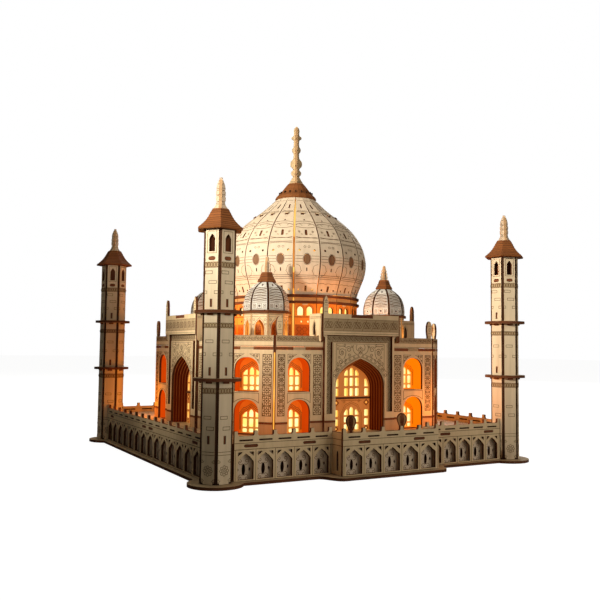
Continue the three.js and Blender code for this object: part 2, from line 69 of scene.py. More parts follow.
def node(tree, kind, sockets=None, **values):
    """A new node; sockets are its inputs' values, the rest its settings."""
    made = tree.nodes.new(kind)
    for key, value in values.items():
        setattr(made, key, value)
    fill(made, sockets or {})
    return made


def join(tree, source, output, target, socket):
    """Link one node's output to another's input."""
    tree.links.new(source.outputs[output], target.inputs[socket])


def ramp(tree, stops):
    """A colour ramp from two or more (place, colour) stops."""
    made = node(tree, "ShaderNodeValToRGB")
    elements = made.color_ramp.elements
    while len(elements) < len(stops):
        elements.new(0.5)
    for element, (at, colour) in zip(elements, stops):
        element.position = at
        element.color = (*colour, 1)
    return made


def noise(tree, coords, scale, detail, rough):
    """Noise in object space, stretched by scale (x, y, z), in features a metre."""
    mapping = node(tree, "ShaderNodeMapping", {"Scale": scale})
    made = node(tree, "ShaderNodeTexNoise", {"Scale": 1.0, "Detail": detail, "Roughness": rough})
    join(tree, coords, "Object", mapping, "Vector")
    join(tree, mapping, "Vector", made, "Vector")
    return made


def plain(name):
    """A new material, its node tree and its shader."""
    made = bpy.data.materials.new(name)
    made.use_nodes = True
    tree = made.node_tree
    return made, tree, tree.nodes["Principled BSDF"]


def wood(name, dark, light, rough=0.62, grain=(260, 260, 16), bump=0.12, glow=None, strength=0.0, specular=0.3):
    """Bare or stained plywood: long fibres, soft clouds of colour, fine pores in the roughness and bump. A glow paints
    light on it: an emission that swells and fades with the clouds.
    """
    made, tree, shader = plain(name)
    coords = node(tree, "ShaderNodeTexCoord")
    fibres = noise(tree, coords, grain, 4.0, 0.6)
    clouds = noise(tree, coords, (14, 14, 9), 2.0, 0.5)
    pores = noise(tree, coords, [4 * scale for scale in grain], 2.0, 0.5)
    mix = node(tree, "ShaderNodeMix", {"Factor": 0.45}, data_type="FLOAT")
    join(tree, fibres, "Fac", mix, "A")
    join(tree, clouds, "Fac", mix, "B")
    middle = tuple((a + b) / 2 for a, b in zip(dark, light))
    colours = ramp(tree, [(0.3, dark), (0.47, middle), (0.66, light)])
    join(tree, mix, "Result", colours, "Fac")
    join(tree, colours, "Color", shader, "Base Color")
    spread = node(tree, "ShaderNodeMapRange", {"To Min": rough - 0.08, "To Max": rough + 0.12})
    join(tree, pores, "Fac", spread, "Value")
    join(tree, spread, "Result", shader, "Roughness")
    relief = node(tree, "ShaderNodeBump", {"Strength": bump, "Distance": 0.0003})
    join(tree, fibres, "Fac", relief, "Height")
    join(tree, relief, "Normal", shader, "Normal")
    fill(shader, {"Specular IOR Level": specular})
    # Painted light: emission on the wood, standing for lamp light falling on it.
    if glow:
        fill(shader, {"Emission Color": (*glow, 1)})
        painted_glow_strength = node(tree, "ShaderNodeMapRange", {"From Min": 0.3, "From Max": 0.7, "To Min": strength * 0.7,
                                                 "To Max": strength * 1.3})
        join(tree, clouds, "Fac", painted_glow_strength, "Value")
        join(tree, painted_glow_strength, "Result", shader, "Emission Strength")
    return made


def lit(name, core, edge, strength, scale):
    """A lit surface seen through a window: brighter and paler in patches, as over a lamp."""
    made, tree, shader = plain(name)
    patches = noise(tree, node(tree, "ShaderNodeTexCoord"), (scale, scale, scale), 1.0, 0.4)
    colours = ramp(tree, [(0.38, edge), (0.58, core)])
    join(tree, patches, "Fac", colours, "Fac")
    join(tree, colours, "Color", shader, "Emission Color")
    fill(shader, {"Base Color": (core[0] * 0.25, core[1] * 0.2, core[2] * 0.1, 1), "Specular IOR Level": 0.1,
                  "Emission Strength": strength, "Roughness": 0.8})
    return made


FACE = wood("basswood_face", (0.50, 0.352, 0.178), (0.70, 0.505, 0.275))
PALE = wood("basswood_pale", (0.50, 0.375, 0.242), (0.69, 0.53, 0.355))
SHAFT = wood("basswood_shaft", (0.49, 0.375, 0.225), (0.71, 0.55, 0.345))
# Darker wood for the level boards: painted shade, for tops that the light only grazes.
SHADED_BASE_FACE = wood("basswood_base_painted_shade", (0.33, 0.22, 0.11), (0.50, 0.35, 0.185))
EDGE = wood("burnt_edge", (0.05, 0.016, 0.006), (0.15, 0.05, 0.017), 0.8, (120, 120, 700), 0.3, specular=0.15)
ETCH = wood("etched_line", (0.075, 0.037, 0.015), (0.15, 0.08, 0.036), 0.9, (300, 300, 300), 0.1, specular=0.1)
GROUND = wood("etched_ground", (0.30, 0.203, 0.103), (0.43, 0.30, 0.158), 0.88, (900, 900, 900), 0.3, specular=0.1)
TAB = wood("tab_end", (0.085, 0.024, 0.008), (0.21, 0.065, 0.022), 0.75, (500, 500, 60), 0.2, specular=0.15)
# Warmer foot of the walls: painted light, the glow of the lit court on them.
DADO = wood("dado_painted_glow", (0.40, 0.215, 0.09), (0.56, 0.32, 0.145), 0.66)
TREE = wood("tree_board", (0.30, 0.15, 0.055), (0.52, 0.31, 0.14), 0.7, (700, 700, 60))
OVAL = wood("inlay_oval", (0.12, 0.052, 0.018), (0.23, 0.106, 0.037), 0.7, (700, 700, 60))
CLAY = wood("stained_cap", (0.10, 0.03, 0.007), (0.24, 0.08, 0.02), 0.65, (40, 40, 420), 0.2, specular=0.12)
ASH = wood("kiosk_pale", (0.40, 0.355, 0.28), (0.60, 0.55, 0.46))
STAIN = wood("stained_roof", (0.10, 0.03, 0.006), (0.25, 0.082, 0.02), 0.62, (40, 40, 420), 0.2, specular=0.12)
REVEAL = wood("lit_reveal", (0.20, 0.03, 0.002), (0.30, 0.05, 0.004), 0.8, glow=(1.0, 0.088, 0.001), strength=0.5,
              specular=0.05)
NICHE = wood("lit_niche", (0.28, 0.07, 0.008), (0.42, 0.12, 0.018), 0.8, glow=(1.0, 0.15, 0.006), strength=0.56,
             specular=0.05)
BLAZE = wood("lit_reveal_bright", (0.22, 0.045, 0.002), (0.34, 0.07, 0.005), 0.8, glow=(1.0, 0.19, 0.001),
             strength=0.95, specular=0.05)
# Window bars: their orange and their glow are painted light from the pane behind.
BARS = wood("window_bars_painted_glow", (0.30, 0.11, 0.02), (0.46, 0.19, 0.04), 0.75,
            glow=(1.0, 0.36, 0.05), strength=0.5, specular=0.1)
# Faces turned to the lamps inside: their orange and their glow are painted light.
WARM = wood("warm_face_painted_glow", (0.34, 0.135, 0.035), (0.50, 0.215, 0.065), 0.7,
            glow=(1.0, 0.24, 0.03), strength=0.3, specular=0.15)
# The drum's orange and glow are painted light from inside.
DRUM = wood("drum_face", (0.34, 0.105, 0.014), (0.50, 0.165, 0.028), 0.75,
            glow=(1.0, 0.25, 0.022), strength=0.36, specular=0.1)
PANE = lit("window_light", (1.0, 0.95, 0.48), (1.0, 0.80, 0.2), 1.14, 110)
GLOW = lit("seam_light", (1.0, 0.60, 0.14), (1.0, 0.38, 0.05), 1.15, 45)
# Glowing edges of the window openings: painted light from the lamps behind.
SILL = lit("window_edge_painted_glow", (1.0, 0.66, 0.18), (1.0, 0.48, 0.08), 0.95, 110)
# Dim inner faces of the dome and sheets behind some holes: painted glow from the lamp inside.
INNER_GLOW = lit("inner_painted_glow", (0.42, 0.09, 0.01), (0.12, 0.02, 0.004), 0.6, 50)
SHADE = wood("inner_dark", (0.02, 0.009, 0.005), (0.06, 0.026, 0.012), 0.9, specular=0.05)
# Dark etched brown of the drum's bands, with a faint glow of painted light from inside.
BROWN = wood("drum_etched_painted_glow", (0.17, 0.036, 0.004), (0.34, 0.095, 0.013), 0.8, (1500, 1500, 1500),
             glow=(1.0, 0.13, 0.0), strength=0.1)
DRUM_LINE = wood("drum_line", (0.06, 0.012, 0.003), (0.12, 0.03, 0.008), 0.85)
# The tan neck band: its warmth and glow are partly painted light from inside.
NECK = wood("neck_band_painted_glow", (0.42, 0.19, 0.06), (0.58, 0.29, 0.10), 0.66, glow=(1.0, 0.28, 0.03), strength=0.16)
# Dark red-brown arch layers of the portal, with a faint emission that is painted light from the hall behind.
LAYER = wood("portal_layer", (0.19, 0.05, 0.01), (0.31, 0.09, 0.02), 0.8,
             glow=(1.0, 0.13, 0.005), strength=0.06, specular=0.05)
LAYER_EDGE = wood("portal_layer_edge", (0.05, 0.007, 0.001), (0.115, 0.018, 0.003), 0.9,
                  glow=(1.0, 0.05, 0.0), strength=0.02, specular=0.05)
SEAM_WARM = lit("seam_warm", (0.95, 0.34, 0.06), (0.62, 0.17, 0.02), 0.8, 45)
PLASTIC = wood("moulded_plastic", (0.012, 0.012, 0.013), (0.022, 0.022, 0.024), 0.5, (700, 700, 700), 0.15,
               specular=0.4)
LAMP = lit("lamp_light", (1.0, 0.84, 0.5), (1.0, 0.66, 0.25), 3.0, 200)


# ---------------------------------------------------------------- surfaces
def wall(face, angle, at=(0.0, 0.0)):
    """An upright plane whose face looks along angle: x runs along it, y is height, d is outward."""
    turn = math.radians(angle)
    ca, sa = math.cos(turn), math.sin(turn)

    def place(x, y, d=0.0):
        return at[0] + ca * (face + d) - sa * x, at[1] + sa * (face + d) + ca * x, y

    return place


def level(z, quarters=0, at=(0.0, 0.0)):
    """A level surface at height z, turned by quarters."""
    turn = math.radians(90 * quarters)
    ca, sa = math.cos(turn), math.sin(turn)

    def place(x, y, d=0.0):
        return at[0] + (ca * x - sa * y), at[1] + (sa * x + ca * y), z + d

    return place


def corner_point(k, reach):
    """The k-th corner of a square about the dome's axis, from the front left one round to the back left."""
    return ((-reach, -reach), (reach, -reach), (reach, reach), (-reach, reach))[k]


def rect(x0, y0, x1, y1):
    return [(x0, y0), (x1, y0), (x1, y1), (x0, y1)]


def soft(x0, y0, x1, y1, r=0.5):
    """A rectangle with its corners taken off."""
    right = [(x1 - r, y0), (x1, y0 + r), (x1, y1 - r), (x1 - r, y1)]
    return [(x0 + r, y0), *right, (x0 + r, y1), (x0, y1 - r), (x0, y0 + r)]


def oval(cx, cy, rx, ry, count=16, turn=0.0):
    steps = [turn + 2 * math.pi * k / count for k in range(count)]
    return [(cx + rx * math.cos(t), cy + ry * math.sin(t)) for t in steps]


def almond(cx, cy, half, tall, count=7):
    """A pointed oval, half wide and tall each way."""
    right = [(cx + half * math.sin(math.pi * k / count), cy - tall * math.cos(math.pi * k / count))
             for k in range(count + 1)]
    left = [(2 * cx - x, y) for x, y in reversed(right[1:-1])]
    return right + left


def pill(x0, y0, x1, y1, count=5):
    """A bar with round ends."""
    r = (y1 - y0) / 2
    cy = (y0 + y1) / 2
    right = [(x1 - r + r * math.sin(math.pi * k / count), cy - r * math.cos(math.pi * k / count))
             for k in range(count + 1)]
    left = [(x0 + x1 - x, 2 * cy - y) for x, y in right]
    return right + left


def mirrored(rows, x=0.0):
    """A symmetric outline from [height, half width] rows, low to high."""
    right = [(x + w, y) for y, w in rows]
    left = [(x - w, y) for y, w in reversed(rows) if w > 0]
    return right + left


def bezier(p0, p1, p2, p3, count):
    points = []
    for k in range(count + 1):
        t = k / count
        u = 1 - t
        a, b, c, d = u * u * u, 3 * u * u * t, 3 * u * t * t, t * t * t
        points.append((a * p0[0] + b * p1[0] + c * p2[0] + d * p3[0], a * p0[1] + b * p1[1] + c * p2[1] + d * p3[1]))
    return points


def arch(x, sill, half, spring, apex, count=10, tip=0.5, swell=0.55, drop=0.15):
    """A pointed arch opening; tip, swell and drop set how flat and how full its shoulders are."""
    rise = apex - spring
    right = bezier((half, spring), (half, spring + rise * swell), (half * tip, apex - rise * drop), (0, apex), count)
    outline = [(-half, sill), (half, sill)] + right + [(-px, py) for px, py in reversed(right[:-1])]
    return [(x + px, py) for px, py in outline]


def round_arch(x, sill, half, spring, apex, count=9):
    """A nearly round arch with the least of a point."""
    return arch(x, sill, half, spring, apex, count, 0.62, 0.62, 0.02)


def clean(outline):
    """The outline without points that repeat the one before."""
    return [p for k, p in enumerate(outline) if k == 0 or math.dist(p, outline[k - 1]) > 1e-4]


def spiral(cx, cy, r, turns=1.3, start=0.0, way=1, count=12):
    """A scroll that winds inwards from radius r."""
    points = []
    for k in range(count + 1):
        t = k / count
        a = start + way * turns * 2 * math.pi * t
        reach = r * (1 - 0.78 * t)
        points.append((cx + reach * math.cos(a), cy + reach * math.sin(a)))
    return points


def petals(cx, cy, r, lobes=8, depth=0.24, count=4, turn=0.0):
    """A rosette's outline."""
    points = []
    for k in range(lobes * count):
        a = turn + 2 * math.pi * k / (lobes * count)
        reach = r * (1 - depth + depth * abs(math.cos(lobes * (a - turn) / 2)))
        points.append((cx + reach * math.cos(a), cy + reach * math.sin(a)))
    return points


def inside(point, loops):
    """Whether a point lies in the outline and outside its holes."""
    x, y = point
    hit = False
    for loop in loops:
        for k, (x0, y0) in enumerate(loop):
            x1, y1 = loop[k - 1]
            if (y0 > y) != (y1 > y) and x < (x1 - x0) * (y - y0) / (y1 - y0) + x0:
                hit = not hit
    return hit


# ---------------------------------------------------------------- mesh building
class Build:
    """Collects closed boards, etched lines and solids of revolution into one mesh."""

    def __init__(self):
        self.points, self.faces, self.slots, self.materials = [], [], [], []

    def slot(self, material):
        """The material's place in this mesh's list."""
        if material not in self.materials:
            self.materials.append(material)
        return self.materials.index(material)

    def add(self, points, faces, material):
        """Add points and the faces between them, in one material."""
        base = len(self.points)
        index = self.slot(material)
        self.points.extend(points)
        for face in faces:
            self.faces.append([base + k for k in face])
            self.slots.append(index)

    def board(self, place, outer, holes=(), thick=PLY, rows=(), face=None, edge=None, back=None, lift=0.0):
        """A flat or bent sheet cut to an outline, with burnt edges. rows are heights where it may bend."""
        face, edge = face or FACE, edge or EDGE
        back = back or face
        loops = [outer, *holes]
        flat, edges = [], []
        for loop in loops:
            start = len(flat)
            flat += [Vector(p) for p in loop]
            edges += [(start + k, start + (k + 1) % len(loop)) for k in range(len(loop))]
        left = min(p[0] for p in outer) - 1
        right = max(p[0] for p in outer) + 1
        for y in rows:
            edges.append((len(flat), len(flat) + 1))
            flat += [Vector((left, y)), Vector((right, y))]
        verts, _, tris, *_ = delaunay_2d_cdt(flat, edges, [], 0, 1e-5, False)
        kept = []
        for tri in tris:
            a, b, c = (verts[k] for k in tri)
            if not inside(((a[0] + b[0] + c[0]) / 3, (a[1] + b[1] + c[1]) / 3), loops):
                continue
            turn = (b[0] - a[0]) * (c[1] - a[1]) - (b[1] - a[1]) * (c[0] - a[0])
            kept.append(tuple(tri) if turn > 0 else tuple(reversed(tri)))
        used = sorted({k for tri in kept for k in tri})
        at = {k: n for n, k in enumerate(used)}
        count = len(used)
        points = [place(verts[k][0], verts[k][1], lift) for k in used]
        points += [place(verts[k][0], verts[k][1], lift - thick) for k in used]
        base = len(self.points)
        self.points.extend(points)
        rim = set()
        for tri in kept:
            a, b, c = (at[k] for k in tri)
            self.faces.append([base + a, base + b, base + c])
            self.slots.append(self.slot(face))
            self.faces.append([base + count + c, base + count + b, base + count + a])
            self.slots.append(self.slot(back))
            for pair in ((a, b), (b, c), (c, a)):
                if (pair[1], pair[0]) in rim:
                    rim.discard((pair[1], pair[0]))
                else:
                    rim.add(pair)
        for a, b in sorted(rim):
            self.faces.append([base + a, base + count + a, base + count + b, base + b])
            self.slots.append(self.slot(edge))

    def etch(self, place, line, width=0.42, closed=False, material=None, lift=0.05, step=0.0):
        """A burnt line on a face: a thin closed ribbon along the points."""
        line = clean(line)
        if step:
            fine = [line[0]]
            ends = line[1:] + ([line[0]] if closed else [])
            for p in ends:
                q = fine[-1]
                parts = max(1, math.ceil(abs(p[1] - q[1]) / step))
                fine += [(q[0] + (p[0] - q[0]) * k / parts, q[1] + (p[1] - q[1]) * k / parts)
                         for k in range(1, parts + 1)]
            line = fine[:-1] if closed else fine
        count = len(line)
        points, faces = [], []
        for k, (x, y) in enumerate(line):
            before = line[k - 1] if (closed or k) else line[k]
            after = line[(k + 1) % count] if (closed or k < count - 1) else line[k]
            ax, ay = x - before[0], y - before[1]
            bx, by = after[0] - x, after[1] - y
            la, lb = math.hypot(ax, ay) or 1, math.hypot(bx, by) or 1
            tx, ty = ax / la + bx / lb, ay / la + by / lb
            size = math.hypot(tx, ty) or 1
            nx, ny = -ty / size, tx / size
            wide = width / 2 / max(0.5, abs(nx * -by + ny * bx) / lb if lb and (bx or by) else 1)
            for side, d in ((wide, lift), (-wide, lift), (-wide, GROOVE), (wide, GROOVE)):
                points.append(place(x + nx * side, y + ny * side, d))
        spans = count if closed else count - 1
        for k in range(spans):
            a, b = 4 * k, 4 * ((k + 1) % count)
            for i in range(4):
                j = (i + 1) % 4
                faces.append([a + i, a + j, b + j, b + i])
        if not closed:
            faces.append([3, 2, 1, 0])
            last = 4 * (count - 1)
            faces.append([last, last + 1, last + 2, last + 3])
        self.add(points, faces, material or ETCH)

    def sheet(self, place, outline, look, lift=0.0, thick=0.4, rows=()):
        """A thin board in one material: an inlay, a lit pane or seam, or the dark behind an opening."""
        self.board(place, outline, thick=thick, rows=rows, face=look, edge=look, lift=lift)

    def pen(self, place, **settings):
        """etch for one face, with settings of its own."""
        return partial(self.etch, place, **settings)

    def sweep(self, place, line, inward, material, near=0.0, far=-10.0):
        """A thin wall standing behind an open outline, from depth near to far: a reveal."""
        count = len(line)
        points, faces = [], []
        for k, (x, y) in enumerate(line):
            before, after = line[max(k - 1, 0)], line[min(k + 1, count - 1)]
            tx, ty = after[0] - before[0], after[1] - before[1]
            size = math.hypot(tx, ty) or 1
            nx, ny = -ty / size * inward, tx / size * inward
            points += [place(x, y, near), place(x, y, far), place(x + nx, y + ny, far), place(x + nx, y + ny, near)]
        for k in range(count - 1):
            a, b = 4 * k, 4 * (k + 1)
            faces += [[a + i, b + i, b + (i + 1) % 4, a + (i + 1) % 4] for i in range(4)]
        last = 4 * (count - 1)
        faces += [[0, 1, 2, 3], [last + 3, last + 2, last + 1, last]]
        self.add(points, faces, material)

    def revolve(self, rows, sides, corner=0.0, at=(0.0, 0.0), material=None, closed=False):
        """A solid of revolution with flat sides from [radius, height] rows, low to high outside."""
        count = len(rows)
        points, faces = [], []
        for side in range(sides):
            a = math.radians(corner) + 2 * math.pi * side / sides
            points += [(at[0] + r * math.cos(a), at[1] + r * math.sin(a), z) for r, z in rows]
        for side in range(sides):
            a, b = side * count, ((side + 1) % sides) * count
            for k in range(count if closed else count - 1):
                j = (k + 1) % count
                faces.append([a + k, b + k, b + j, a + j])
        if not closed:
            faces.append([side * count for side in reversed(range(sides))])
            faces.append([side * count + count - 1 for side in range(sides)])
        self.add(points, faces, material or FACE)

    def object(self, name, turn=0, replaces=None, slot="basswood"):
        """The finished piece, turned about the dome's axis, in the place of a CAD node."""
        mesh = bpy.data.meshes.new(name)
        angle = math.radians(turn)
        ca, sa = math.cos(angle), math.sin(angle)
        where = [((ca * x - sa * y) * MM, (sa * x + ca * y + AXIS_Y) * MM, z * MM) for x, y, z in self.points]
        mesh.from_pydata(where, [], self.faces)
        for material in self.materials:
            mesh.materials.append(material)
        mesh.polygons.foreach_set("material_index", self.slots)
        mesh.validate()
        mesh.update()
        made = bpy.data.objects.new(name, mesh)
        bpy.context.scene.collection.objects.link(made)
        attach(made, BODY)
        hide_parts(replaces)


def crossed(build, angle, at, outline, marks, thick=PLY, width=0.3, face=None, holes=((), ())):
    """Two flat-cut boards that cross at right angles, with lines etched across both faces of each."""
    for n, hole in enumerate(holes):
        build.board(wall(thick / 2, angle + 90 * n, at), outline, hole, thick=thick, face=face, edge=TREE)
        for flip in (0, 180):
            for z, w in marks:
                build.etch(wall(thick / 2, angle + 90 * n + flip, at), [(-w, z), (w, z)], width)


# ---------------------------------------------------------------- arcade screens
FOOT, WALL_TOP, MERLON = 2.3, 30.7, 33.8


def bay_opening(x, half):
    """The shouldered ogee opening of one arcade bay."""
    right = [(half, FOOT + 0.7), (half, 14.2), (half - 0.5, 15.0), (3.3, 16.9), (2.9, 17.5), (1.3, 18.6), (0, 19.6)]
    return [(x + px, py) for px, py in right] + [(x - px, py) for px, py in reversed(right[:-1])]


def arcade(place, x0, x1, pills, bays=5):
    """A screen of bays with merlons, etched bands and the pill-shaped ends of the deck's tabs."""
    build = Build()
    width = 2.3
    pitch = (x1 - x0 - width) / bays
    first = x0 + width / 2
    w = width / 2
    foot = [(w + 0.9, WALL_TOP), (w + 0.25, WALL_TOP + 0.45), (w, WALL_TOP + 1.1), (w, MERLON)]
    outer = [(x1, FOOT), (x1, MERLON)] + [(x1 - w - x, z) for x, z in reversed(foot)]
    for bay in range(bays - 1, 0, -1):
        x = first + bay * pitch
        outer += [(x + px, z) for px, z in foot] + [(x - px, z) for px, z in reversed(foot)]
    outer += [(x0 + w + x, z) for x, z in foot] + [(x0, MERLON), (x0, FOOT)]
    holes = []
    half = pitch / 2 - 1.45
    for bay in range(bays):
        x = first + (bay + 0.5) * pitch
        holes.append(bay_opening(x, half))
        for side in (-1, 1):
            corner = ((0.1, 20.6), (3.2, 20.6), (2.6, 19.8), (0.5, 18.4), (0.1, 17.7))
            holes.append([(x + side * (half - inset), z) for inset, z in corner])
        holes.append(pill(x - 5.1, 27.4, x + 5.1, 28.5, 2))
    for x in pills:
        holes.append(pill(x - 5, 23.35, x + 5, 25.35))
    draw = build.pen(place)
    build.board(place, outer, holes)
    build.board(place, rect(x0 + 0.5, 27.2, x1 - 0.5, 28.7), thick=0.4, lift=-0.8, face=SHADE)
    for x in pills:
        build.board(place, pill(x - 4.7, 23.6, x + 4.7, 25.1), thick=2.2, lift=0.1, face=TAB)
        draw([(x - 4.1, 24.35), (x + 4.1, 24.35)], 0.4, lift=0.14, material=EDGE)
    draw([(x0, 26.2), (x1, 26.2)], 0.32)
    draw([(x0, 22.1), (x1, 22.1)], 0.36)
    for bay in range(1, bays):
        x = first + bay * pitch
        draw([(x, FOOT), (x, 22.0)], 0.32)
    for x in (x0 + 0.9, x1 - 0.9):
        draw([(x, FOOT), (x, 22.0)], 0.25)
    return build


def panel(build, place, x):
    """The scrolls etched on the panel behind one arcade bay."""
    draw = build.pen(place, material=OVAL)
    for side in (-1, 1):
        for up in (-1, 1):
            cy = 8.9 + up * 5.4
            start = math.radians(-60 * up if side > 0 else 180 + 60 * up)
            draw(spiral(x + side * 2.35, cy, 1.55, 1.25, start, side * up, 9), 0.34)
            draw(bezier((x + side * 0.5, 8.9 + up * 3.9), (x + side * 1.6, 8.9 + up * 2.6),
                        (x + side * 3.2, 8.9 + up * 3.0), (x + side * 3.7, cy - up * 0.5), 4), 0.3)


def plinth():
    """The arcade screens on all four sides, and the pierced backing boards behind them."""
    for hand, x0, x1, pills in (("left", -114.4, -41.3, (-102.6, -59.0)), ("right", 41.3, 114.4, (59.0, 102.6))):
        straight = arcade(wall(SCREEN, -90), x0, x1, pills)
        straight.object(f"front_arcade_{hand}_screen", replaces=f"front_arcade_{hand}")
    centre = arcade(wall(BAY_SCREEN, -90), -41, 41, (-23.5, 23.5))
    for sign in (-1, 1):
        slit = mirrored([(5.2, 1.1), (16.2, 1.1), (17.6, 0.7), (18.6, 0)], sign * -136.4)
        face = wall(41, 0 if sign > 0 else 180)
        low, high = sorted((sign * -127.7, sign * -141.15))
        centre.board(face, rect(low, FOOT, high, WALL_TOP), [slit])
        centre.etch(face, [(low, 22.1), (high, 22.1)], 0.36)
        centre.etch(face, [(low, 26.2), (high, 26.2)], 0.32)
    centre.object("front_arcade_centre_screen", replaces="front_arcade_centre")
    for k in (1, 2, 3):
        long = arcade(wall(SCREEN, -90), -114.4, 114.4, (-100.5, -8.1, 8.1, 100.5), 14)
        long.object(f"{SIDES[k]}_arcade_screen", 90 * k, replaces=f"{SIDES[k]}_arcade")

    backing = Build()
    straight, forward, end, bay = 126.1, 139.6, 112.9, 37.4  # its planes, and where its boards end
    for k in range(4):
        base = -90 + 90 * k
        runs = [(straight, -end, end, -114.4, 114.4, 14)]
        if k == 0:
            runs = [(straight, -end, -bay, -114.4, -41.3, 5), (forward, -bay, bay, -41, 41, 5),
                    (straight, bay, end, 41.3, 114.4, 5)]
        for face, x0, x1, lo, hi, bays in runs:  # lo and hi are the ends of the screen in front
            place = wall(face, base)
            x0, x1 = x0 + 0.05, x1 - 0.05
            pitch = (hi - lo - 2.3) / bays
            centres = [lo + 1.15 + (bay + 0.5) * pitch for bay in range(bays)]
            centres = [x for x in centres if x0 + 4.8 < x < x1 - 4.8]
            holes = []
            for x in centres:
                holes.append(almond(x, 8.9, 1.3, 3.7))
                for cx in (x - 4.1, x + 4.1):
                    holes.append([(cx, 7.5), (cx + 0.75, 8.9), (cx, 10.3), (cx - 0.75, 8.9)])
            # The backing boards take the paler wood so that they read bright in the shade of the screen: painted light.
            backing.board(place, rect(x0, FOOT, x1, 23.1), holes, face=PALE)
            for x in centres:
                panel(backing, place, x)
    for sign in (-1, 1):
        face = wall(bay, 0 if sign > 0 else 180)
        low, high = sorted((sign * -124.1, sign * -137.5))
        backing.board(face, rect(low, FOOT, high, 23.1))
    for k in range(4):
        face = wall((end + 124.1) / math.sqrt(2) - 0.6, -45 + 90 * k)
        backing.board(face, rect(-7.2, FOOT, 7.2, 23.1))
    backing.object("plinth_backing_boards", replaces="plinth_backing_wall")


# ---------------------------------------------------------------- base and deck
def quarter_turns(front, others=None):
    """A closed outline from one side's points, turned onto all four; others are the points of the other three."""
    loop = []
    for k in range(4):
        for x, y in (others if k and others else front):
            loop.append(((x, y), (-y, x), (-x, -y), (y, -x))[k])
    return loop


def base_side(bay):
    """One side of the base, with or without the swelling under the projecting bay, and the next minaret's disc."""
    disc, edge = 18, 134
    reach = math.sqrt(disc ** 2 - (edge - MINARET_AT) ** 2)
    points = [(reach - MINARET_AT, -edge)]
    if bay:
        points += [(-55, -134)] + bezier((-55, -134), (-49.5, -134), (-49.5, -148.5), (-41, -148.5), 10)[1:]
        points += [(41, -148.5)] + bezier((41, -148.5), (49.5, -148.5), (49.5, -134), (55, -134), 10)[1:]
    start, end = math.atan2(-9, -reach), math.atan2(reach, 9)
    angles = [start + (end - start) * k / 30 for k in range(30)]
    points += [(MINARET_AT + disc * math.cos(a), disc * math.sin(a) - MINARET_AT) for a in angles]
    return points


def ground():
    """The base board with its openings and key slots, and the deck with its etched paving."""
    build = Build()
    outline = quarter_turns(base_side(True), base_side(False))
    hatch = rect(-33.2, -23.3, 55.0, 23.3)
    knob = rect(-43.5, -7, -36.3, 7)
    build.board(level(2), outline, [hatch, knob], face=SHADED_BASE_FACE)
    for k in range(4):
        place = level(2, k)
        for x in (-63, -17, 24, 69):
            edge = -148.4 if k == 0 and abs(x) < 50 else -134
            key = [(x, edge + 0.4), (x, edge + 4.5), (x - 2.2, edge + 5.5), (x - 2.8, edge + 8), (x + 2.8, edge + 8),
                   (x + 2.2, edge + 5.5), (x + 3.4, edge + 9), (x + 3.4, edge + 16)]
            build.etch(place, key, 0.3, material=EDGE)
    build.object("base_board", replaces="base_plate", slot="edge_wood")

    deck = Build()
    side, centre, half, n, m = 127.4, 140.9, 38.7, 112.9, 121.8
    corner = [(n, -side), (n, -m), (m, -n)]
    bay = [(-n, -side), (-half, -side), (-half, -centre), (half, -centre), (half, -side)]
    deck.board(level(25.4), quarter_turns(bay + corner, [(-n, -side)] + corner))
    for k in range(4):
        draw = deck.pen(level(25.4, k))
        for y in (-136, -131, -126, -121, -116, -111, -106):
            if k == 0 or y > -128:
                reach = 38 if y < -128 else 110
                draw([(-reach, y), (reach, y)], 0.28)
        for n in range(-11, 12):
            far = -139.5 if k == 0 and abs(n) < 5 else -126.8
            draw([(n * 9.4, far), (n * 9.4, -106)], 0.28)
    deck.object("deck_board", replaces="deck")


